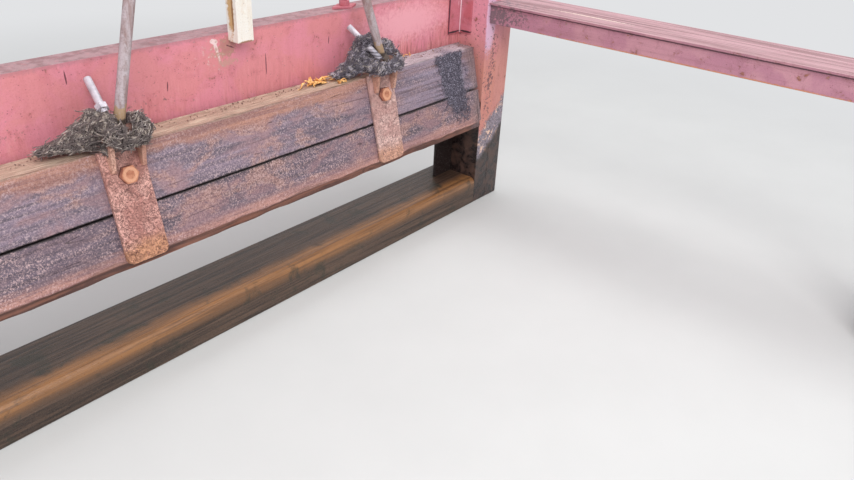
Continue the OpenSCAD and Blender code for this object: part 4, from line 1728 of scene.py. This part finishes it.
@dataclass
class Litter:
    """What the water and the trees left on the leaf: nests, weed and dead leaves.

    Attributes:
        space: The leaf's own frame.
    """

    space: LeafSpace

    def patch(self, x: tuple[float, float], depth: tuple[float, float],
              up: tuple[float, float]) -> Mesh:
        """A flat patch in the leaf's own frame, facing out of it.

        Args:
            x: Its ends along the leaf.
            depth: Its depth at the lower and the upper edge.
            up: Its lower and upper edge.

        Returns:
            The patch's mesh.
        """
        mesh = bpy.data.meshes.new("patch")
        corners = ((x[0], 0), (x[1], 0), (x[1], 1), (x[0], 1))
        points = [tuple(self.space.matrix @ Vector((along, depth[k], up[k]))) for along, k in corners]
        mesh.from_pydata(points, [], [(0, 1, 2, 3)])
        mesh.update()
        return mesh

    def weed(self, twigs: NodeTool) -> None:
        """The dark weed that hangs over the right end of the leaf.

        Args:
            twigs: The tool that scatters strands.
        """
        skin = Rubbish("black_weed", (84, 79, 92), (184, 178, 194), 0.5, 190).build()
        down = self.space.matrix.to_3x3() @ Vector((0, 0, -1))
        lays = ((0.838, 1.008, -0.030, -0.001, 170), (0.850, 0.998, -0.075, -0.010, 300),
                (0.862, 0.985, -0.120, -0.030, 360), (0.872, 0.990, -0.165, -0.070, 350),
                (0.885, 1.000, -0.210, -0.120, 300), (0.905, 1.012, -0.250, -0.160, 190),
                (0.925, 1.022, -0.295, -0.200, 80), (0.828, 1.034, -0.240, -0.005, 130))
        for i, (left, right, low, high, count) in enumerate(lays):
            area = (right - left) * (high - low)
            place = self.patch((left, right), (0.0005, 0.0005), (low, high))
            mat = twigs.grow("weed_%d" % (i + 1), place, skin, Density=count / area, Length=0.024,
                             Radius=0.0008, Bend=0.012, Spread=1.5, Way=tuple(down), Pull=0.55, Seed=21 + i)
            seat(mat)

    def fallen(self, flakes: NodeTool) -> None:
        """Yellow leaf slivers in the corner between leaf and beam, and crumbs along the top.

        Args:
            flakes: The tool that scatters flakes.
        """
        back = self.space.thickness
        rise = back * math.tan(self.space.lean)
        gold = Rubbish("gold_leaves", (226, 160, 96), (255, 214, 142), 0.9).build()
        lays = (("leaf_slivers", (0.170, 0.330), (back * 0.42, back * 0.76),
                 (rise * 0.42 + 0.008, rise * 0.76 + 0.010), 26, 0.024, 31),
                ("leaf_tips", (0.320, 0.352), (0.004, 0.030), (0.004, 0.010), 7, 0.018, 37),
                ("leaf_strays", (0.700, 0.800), (back * 0.8, back),
                 (rise + 0.004, rise + 0.006), 5, 0.010, 41))
        for label, x, depth, up, count, size, seed in lays:
            strip = self.patch(x, depth, up)
            piece = flakes.grow(label, strip, gold, Density=count / strip.polygons[0].area, Size=size,
                                Width=0.22, Curl=0.022, Turn=0.7, Seed=seed)
            seat(piece)
        crumb = Rubbish("bark_crumbs", (104, 80, 74), (178, 150, 136), 0.6).build()
        ledge = self.patch((-1.09, 1.09), (0.03, back), (rise * 0.4 + 0.001, rise + 0.001))
        crumbs = flakes.grow("bark_crumbs", ledge, crumb, Density=3600.0, Size=0.0030, Width=0.6,
                             Curl=0.004, Turn=3.14, Seed=47)
        seat(crumbs)

    def build(self) -> None:
        """Makes all the litter."""
        twigs = twig_tool()
        straw = Rubbish("straw", (144, 134, 132), (226, 214, 206), 0.8).build()
        left = Nest("nest_left", LEFT_LUMPS, RodPath.read("rod_left", "hanger_pin_left"), 4)
        right = Nest("nest_right", RIGHT_LUMPS, RodPath.read("rod_right", "hanger_pin_right"), 9)
        left.build(twigs, Rubbish("brown_silt", (68, 60, 60), (128, 116, 108), 0.3).build(),
                   Rubbish("brown_twigs", (116, 104, 102), (190, 176, 164), 0.5).build(), straw)
        right.build(twigs, Rubbish("grey_silt", (56, 51, 58), (124, 116, 126), 0.35).build(),
                    Rubbish("grey_twigs", (104, 97, 106), (190, 182, 194), 0.55).build(), straw)
        self.weed(twigs)
        self.fallen(flake_tool())


@dataclass
class Hoist:
    """The lifting rods and the threaded screw.

    Attributes:
        core: Radius of the screw under its thread.
        pitch: Pitch of the thread.
        collar: Height of the plain foot under the thread.
        sides: How many sides the round sections have.
    """

    core: float = 0.0150
    pitch: float = 0.007
    collar: float = 0.05
    sides: int = 32

    def build(self, bar: Finish) -> None:
        """Dresses the gear and cuts the screw's thread.

        Args:
            bar: Finish of the bars.
        """
        for node in ("rod_left", "rod_right", "lifting_plate", "plate_pin_left", "plate_pin_right"):
            dress(node, bar, 1.2)
        low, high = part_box("lifting_screw")
        middle = (low + high) / 2
        outer = (high.x - low.x) / 2
        length = high.z - low.z
        sides = self.sides
        rings = [(0, outer - 0.001), (0.001, outer), (self.collar, outer), (self.collar + 0.002, self.core),
                 (length - 0.004, self.core), (length, self.core - 0.004)]
        angles = [2 * math.pi * j / sides for j in range(sides)]
        points = [Vector((radius * math.cos(a), radius * math.sin(a), z))
                  for z, radius in rings for a in angles]
        count = len(rings)
        ends = [tuple(range(sides)), tuple(range((count - 1) * sides, count * sides))]
        core = add_mesh("screw_core", points, tube(count, sides) + ends, bar)
        run = length - self.collar - 0.01
        screw = thread_tool().grow("threaded_screw", core.data, bar, Turns=run / self.pitch, Length=run,
                                   Radius=(self.core + outer) / 2 - 0.0003, Depth=outer - self.core,
                                   Width=self.pitch * 0.5)
        bpy.data.objects.remove(core)
        screw.data.transform(Matrix.Translation((middle.x, middle.y, low.z)))
        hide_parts("lifting_screw")
        seat(screw, Body.HOIST)


@dataclass
class SteelFrame:
    """The posts, beams and braces, in their paints."""

    def build(self, iron: Finish, bar: Finish) -> None:
        """Dresses the frame.

        Args:
            iron: Finish of the bare rusted pieces.
            bar: Finish of the machined pieces.
        """
        foot = {"wet_top": 0.24, "low_z": 0.73, "wet_slope": 0.9, "scaly": 1.0}
        beam = AgedPaint(
            "beam_red", (222, 140, 144), (226, 142, 156), (196, 112, 118), (222, 142, 142),
            0.06, streaks=0.22, dust_z=0.937, weep_z=0.80, marks=BEAM_MARKS).build()
        post = AgedPaint(
            "post_red", (226, 152, 168), (230, 156, 172), (194, 120, 130), (216, 146, 130),
            0.16, streaks=0.28, marks=POST_MARKS, **foot).build()
        angle = AgedPaint(
            "angle_red", (230, 158, 170), (232, 158, 162), (186, 116, 116), (216, 148, 136),
            0.20, streaks=0.35, **foot).build()
        brace = AgedPaint(
            "brace_red", (190, 132, 150), (204, 148, 160), (150, 98, 104), (190, 132, 150),
            0.20, dust=(218, 178, 182), streak=(0.020, 0.80, 0.020), streaks=0.5, wet_top=0.16,
            dust_z=BRACE_TOP_Z, marks=BRACE_MARKS).build()
        upright = AgedPaint(
            "upright_red", (196, 104, 114), (206, 126, 140), (160, 84, 90), (196, 104, 114),
            0.10, marks=UPRIGHT_GLINTS_AND_SHADOWS).build()
        white = AgedPaint(
            "post_white", (242, 236, 226), (248, 244, 238), (222, 200, 172),
            (226, 208, 184), 0.15, dust=(230, 222, 210), streaks=0.35, low_z=0.86,
            marks=WHITE_MARKS).build()
        timber = SunkTimber("sill_wood").build()
        dresses = (
            (beam, 3, ("breast_beam",)),
            (post, 2, ("post_left", "post_right")),
            (angle, 2, ("post_angle_left", "post_angle_right")),
            (upright, 1.5, ("upright_left", "upright_right", "head_beam")),
            (upright, 1.5, ("stay_rod_right", "stay_base_right", "stay_nut_right")),
            (iron, 1.5, ("guide_left", "guide_right", "hand_wheel")),
            (brace, 2, ("brace_beam", "brace_plate", "brace_post")),
            (white, 2.5, ("centre_post",)),
            (bar, 2, ("screw_bearing",)),
            (timber, 4, ("sill_beam",)))
        for finish, bevel, nodes in dresses:
            for node in nodes:
                dress(node, finish, bevel)


@dataclass
class IronWork:
    """The leaf's straps, brackets, bolts, pins and studs.

    Attributes:
        space: The leaf's own frame.
    """

    space: LeafSpace

    def build(self) -> None:
        """Dresses the ironwork."""
        straps = (
            RustedIron("strap_rust_left", (100, 60, 62), (194, 136, 126), (232, 178, 166),
                       (216, 156, 122), 0.455, 0.63).build(),
            RustedIron("strap_rust_right", (128, 88, 90), (212, 166, 158), (244, 206, 196),
                       (226, 172, 146), 0.455, 0.63).build())
        cheek = RustedIron("cheek_rust", (150, 98, 84), (212, 158, 138), (232, 184, 164),
                           (208, 148, 118), pit=0.0012, silt_z=0.742).build()
        pin = RustedIron("pin_rust", (70, 50, 46), (118, 84, 76), (150, 112, 100),
                         (118, 84, 76), pit=0.001).build()
        zinc = DullZinc("zinc", (210, 203, 211), (176, 172, 180)).build()
        for side, strap in zip(SIDES, straps):
            corrode("strap_" + side, strap)
            corrode("bracket_" + side, cheek, 0.8, 1.5)
            bolt = "strap_bolt_" + side
            dress(bolt, BoltHead("bolt_rust_" + side, self.space, bolt).build(), 3)
            dress("hanger_pin_" + side, pin, 1)
            dress("stud_" + side, zinc, 1)


@dataclass
class Studio:
    """Floor, lamps and the camera at the photograph's place.

    Attributes:
        yaw: The camera's heading from +Y towards +X, in degrees.
        pitch: Its rise above the level, in degrees.
        roll: Its turn about its own line of sight, in degrees.
        at: Its place.
        focus: Its focal length, in pixels of the photograph.
        photo_width: The photograph's width, in pixels.
        film_width: The sensor's width, in millimetres.
        near: Distance at which the floor begins to run out into the background.
        far: Distance at which it has done so.
        reach: Half the floor's length.
        backdrop: The background's colour.
    """

    yaw: float = 52.25
    pitch: float = -28.57
    roll: float = 3.07
    at: tuple[float, float, float] = (-1.498, -1.888, 1.504)
    focus: float = 750.5
    photo_width: int = 854
    film_width: float = 36
    near: float = 2.6
    far: float = 5.0
    reach: float = 30.0
    backdrop: Colour = (226, 227, 229)

    def camera(self) -> None:
        """Sets the camera."""
        yaw, pitch, roll = (math.radians(a) for a in (self.yaw, self.pitch, self.roll))
        ahead = Vector((math.sin(yaw) * math.cos(pitch), math.cos(yaw) * math.cos(pitch), math.sin(pitch)))
        level = Vector((math.cos(yaw), -math.sin(yaw), 0))
        above = level.cross(ahead)
        right = level * math.cos(roll) + above * math.sin(roll)
        up = right.cross(ahead)
        data = bpy.data.cameras.new("camera")
        data.sensor_width = self.film_width
        data.lens = self.focus / self.photo_width * data.sensor_width
        data.clip_end = 100
        eye = link("camera", data)
        eye.matrix_world = Matrix.Translation(self.at) @ Matrix((right, up, -ahead)).transposed().to_4x4()
        bpy.context.scene.camera = eye

    def lamp(self, name: str, at: Triple, aim: Triple, size: float, power: float) -> None:
        """Adds a soft square lamp.

        Args:
            name: Its name.
            at: Its place.
            aim: The point that it faces.
            size: Its side.
            power: Its power, in watts.
        """
        data = bpy.data.lights.new(name, "AREA")
        data.size = size
        data.energy = power
        lamp = link(name, data)
        lamp.location = at
        lamp.rotation_euler = (Vector(aim) - Vector(at)).to_track_quat("-Z", "Y").to_euler()

    def seen(self, tree: bpy.types.NodeTree) -> Socket:
        """1 for the rays that see the plain background, and 0 for those that light the gate.

        Args:
            tree: The node tree of the floor or of the world.

        Returns:
            The share.
        """
        path = tree.nodes.new("ShaderNodeLightPath")
        seen = path.outputs["Is Camera Ray"]
        for name in ("Is Glossy Ray", "Is Transmission Ray"):
            either = tree.nodes.new("ShaderNodeMath")
            either.operation = "MAXIMUM"
            tree.links.new(seen, either.inputs[0])
            tree.links.new(path.outputs[name], either.inputs[1])
            seen = either.outputs["Value"]
        return seen

    def blend(self, tree: bpy.types.NodeTree, kind: str, *sockets: Socket) -> None:
        """Puts the plain background in place of a look.

        Args:
            tree: The node tree of the floor or of the world.
            kind: The type of the background's shader.
            sockets: How much of the background shows, the look, and the input that the result goes to.
        """
        share, look, end = sockets
        glow = tree.nodes.new(kind)
        glow.inputs["Color"].default_value = (*tint(*self.backdrop), 1)
        node = tree.nodes.new("ShaderNodeMixShader")
        for socket, value in zip(node.inputs, (share, look, glow.outputs[0])):
            tree.links.new(value, socket)
        tree.links.new(node.outputs[0], end)

    def floor(self) -> None:
        """Adds the pale floor, which runs out into the background."""
        mesh = bpy.data.meshes.new("floor")
        r = self.reach
        mesh.from_pydata([(-r, -r, 0), (r, -r, 0), (r, r, 0), (-r, r, 0)], [], [(0, 1, 2, 3)])
        g = Graph("floor_grey")
        g.colour = g.mix(g.noise(3), (206, 206, 204), (214, 214, 212))
        mesh.materials.append(g.finish(0.9, g.bumps((g.noise(90), 0.0002)), gloss=0.2))
        away = g.spot((0, 0, 0), (self.far, self.far, self.far)).ease(0, 1 - self.near / self.far, 1, 0)
        share = g.calc("MULTIPLY", away, Field(g, self.seen(g.tree)))
        self.blend(g.tree, "ShaderNodeEmission", share.socket, g.shader.outputs["BSDF"],
                   g.output.inputs["Surface"])
        floor = link("floor", mesh)
        floor.location.z = -0.002

    def sky(self) -> None:
        """Sets the plain pale surroundings."""
        world = bpy.data.worlds.new("soft_sky")
        world.use_nodes = True
        tree = world.node_tree
        back = tree.nodes["Background"]
        back.inputs["Color"].default_value = (0.93, 0.95, 1.0, 1)
        back.inputs["Strength"].default_value = 0.62
        self.blend(tree, "ShaderNodeBackground", self.seen(tree), back.outputs[0],
                   tree.nodes["World Output"].inputs["Surface"])
        bpy.context.scene.world = world
        bpy.context.scene.view_settings.view_transform = "Standard"

    def build(self) -> None:
        """Sets up the whole studio."""
        self.camera()
        self.floor()
        self.sky()
        self.lamp("key_lamp", (-3.5, -4.5, 5.5), (0, 0, 0.8), 4.0, 330)
        self.lamp("top_lamp", (1.5, -0.5, 6.0), (0.2, 0, 0.8), 4.0, 190)


def main() -> None:
    """Builds the gate's dress in order."""
    logging.basicConfig(level=logging.INFO, format="%(name)s: %(message)s")
    space = LeafSpace.read()
    pin_z = leaf_joint()["pos_m"][2]
    bar = WornBar("bar_steel", (202, 188, 192), (166, 140, 138), (196, 160, 112),
                  (56, 48, 50), pin_z + 0.074).build()
    iron = RustedIron("old_iron", (70, 46, 40), (128, 92, 80), (160, 120, 104),
                      (128, 92, 80), wet_top=0.42).build()
    SteelFrame().build(iron, bar)
    IronWork(space).build()
    Hoist().build(bar)
    LeafTimber(space).build()
    Litter(space).build()
    Studio().build()


if __name__ == "__main__":
    main()
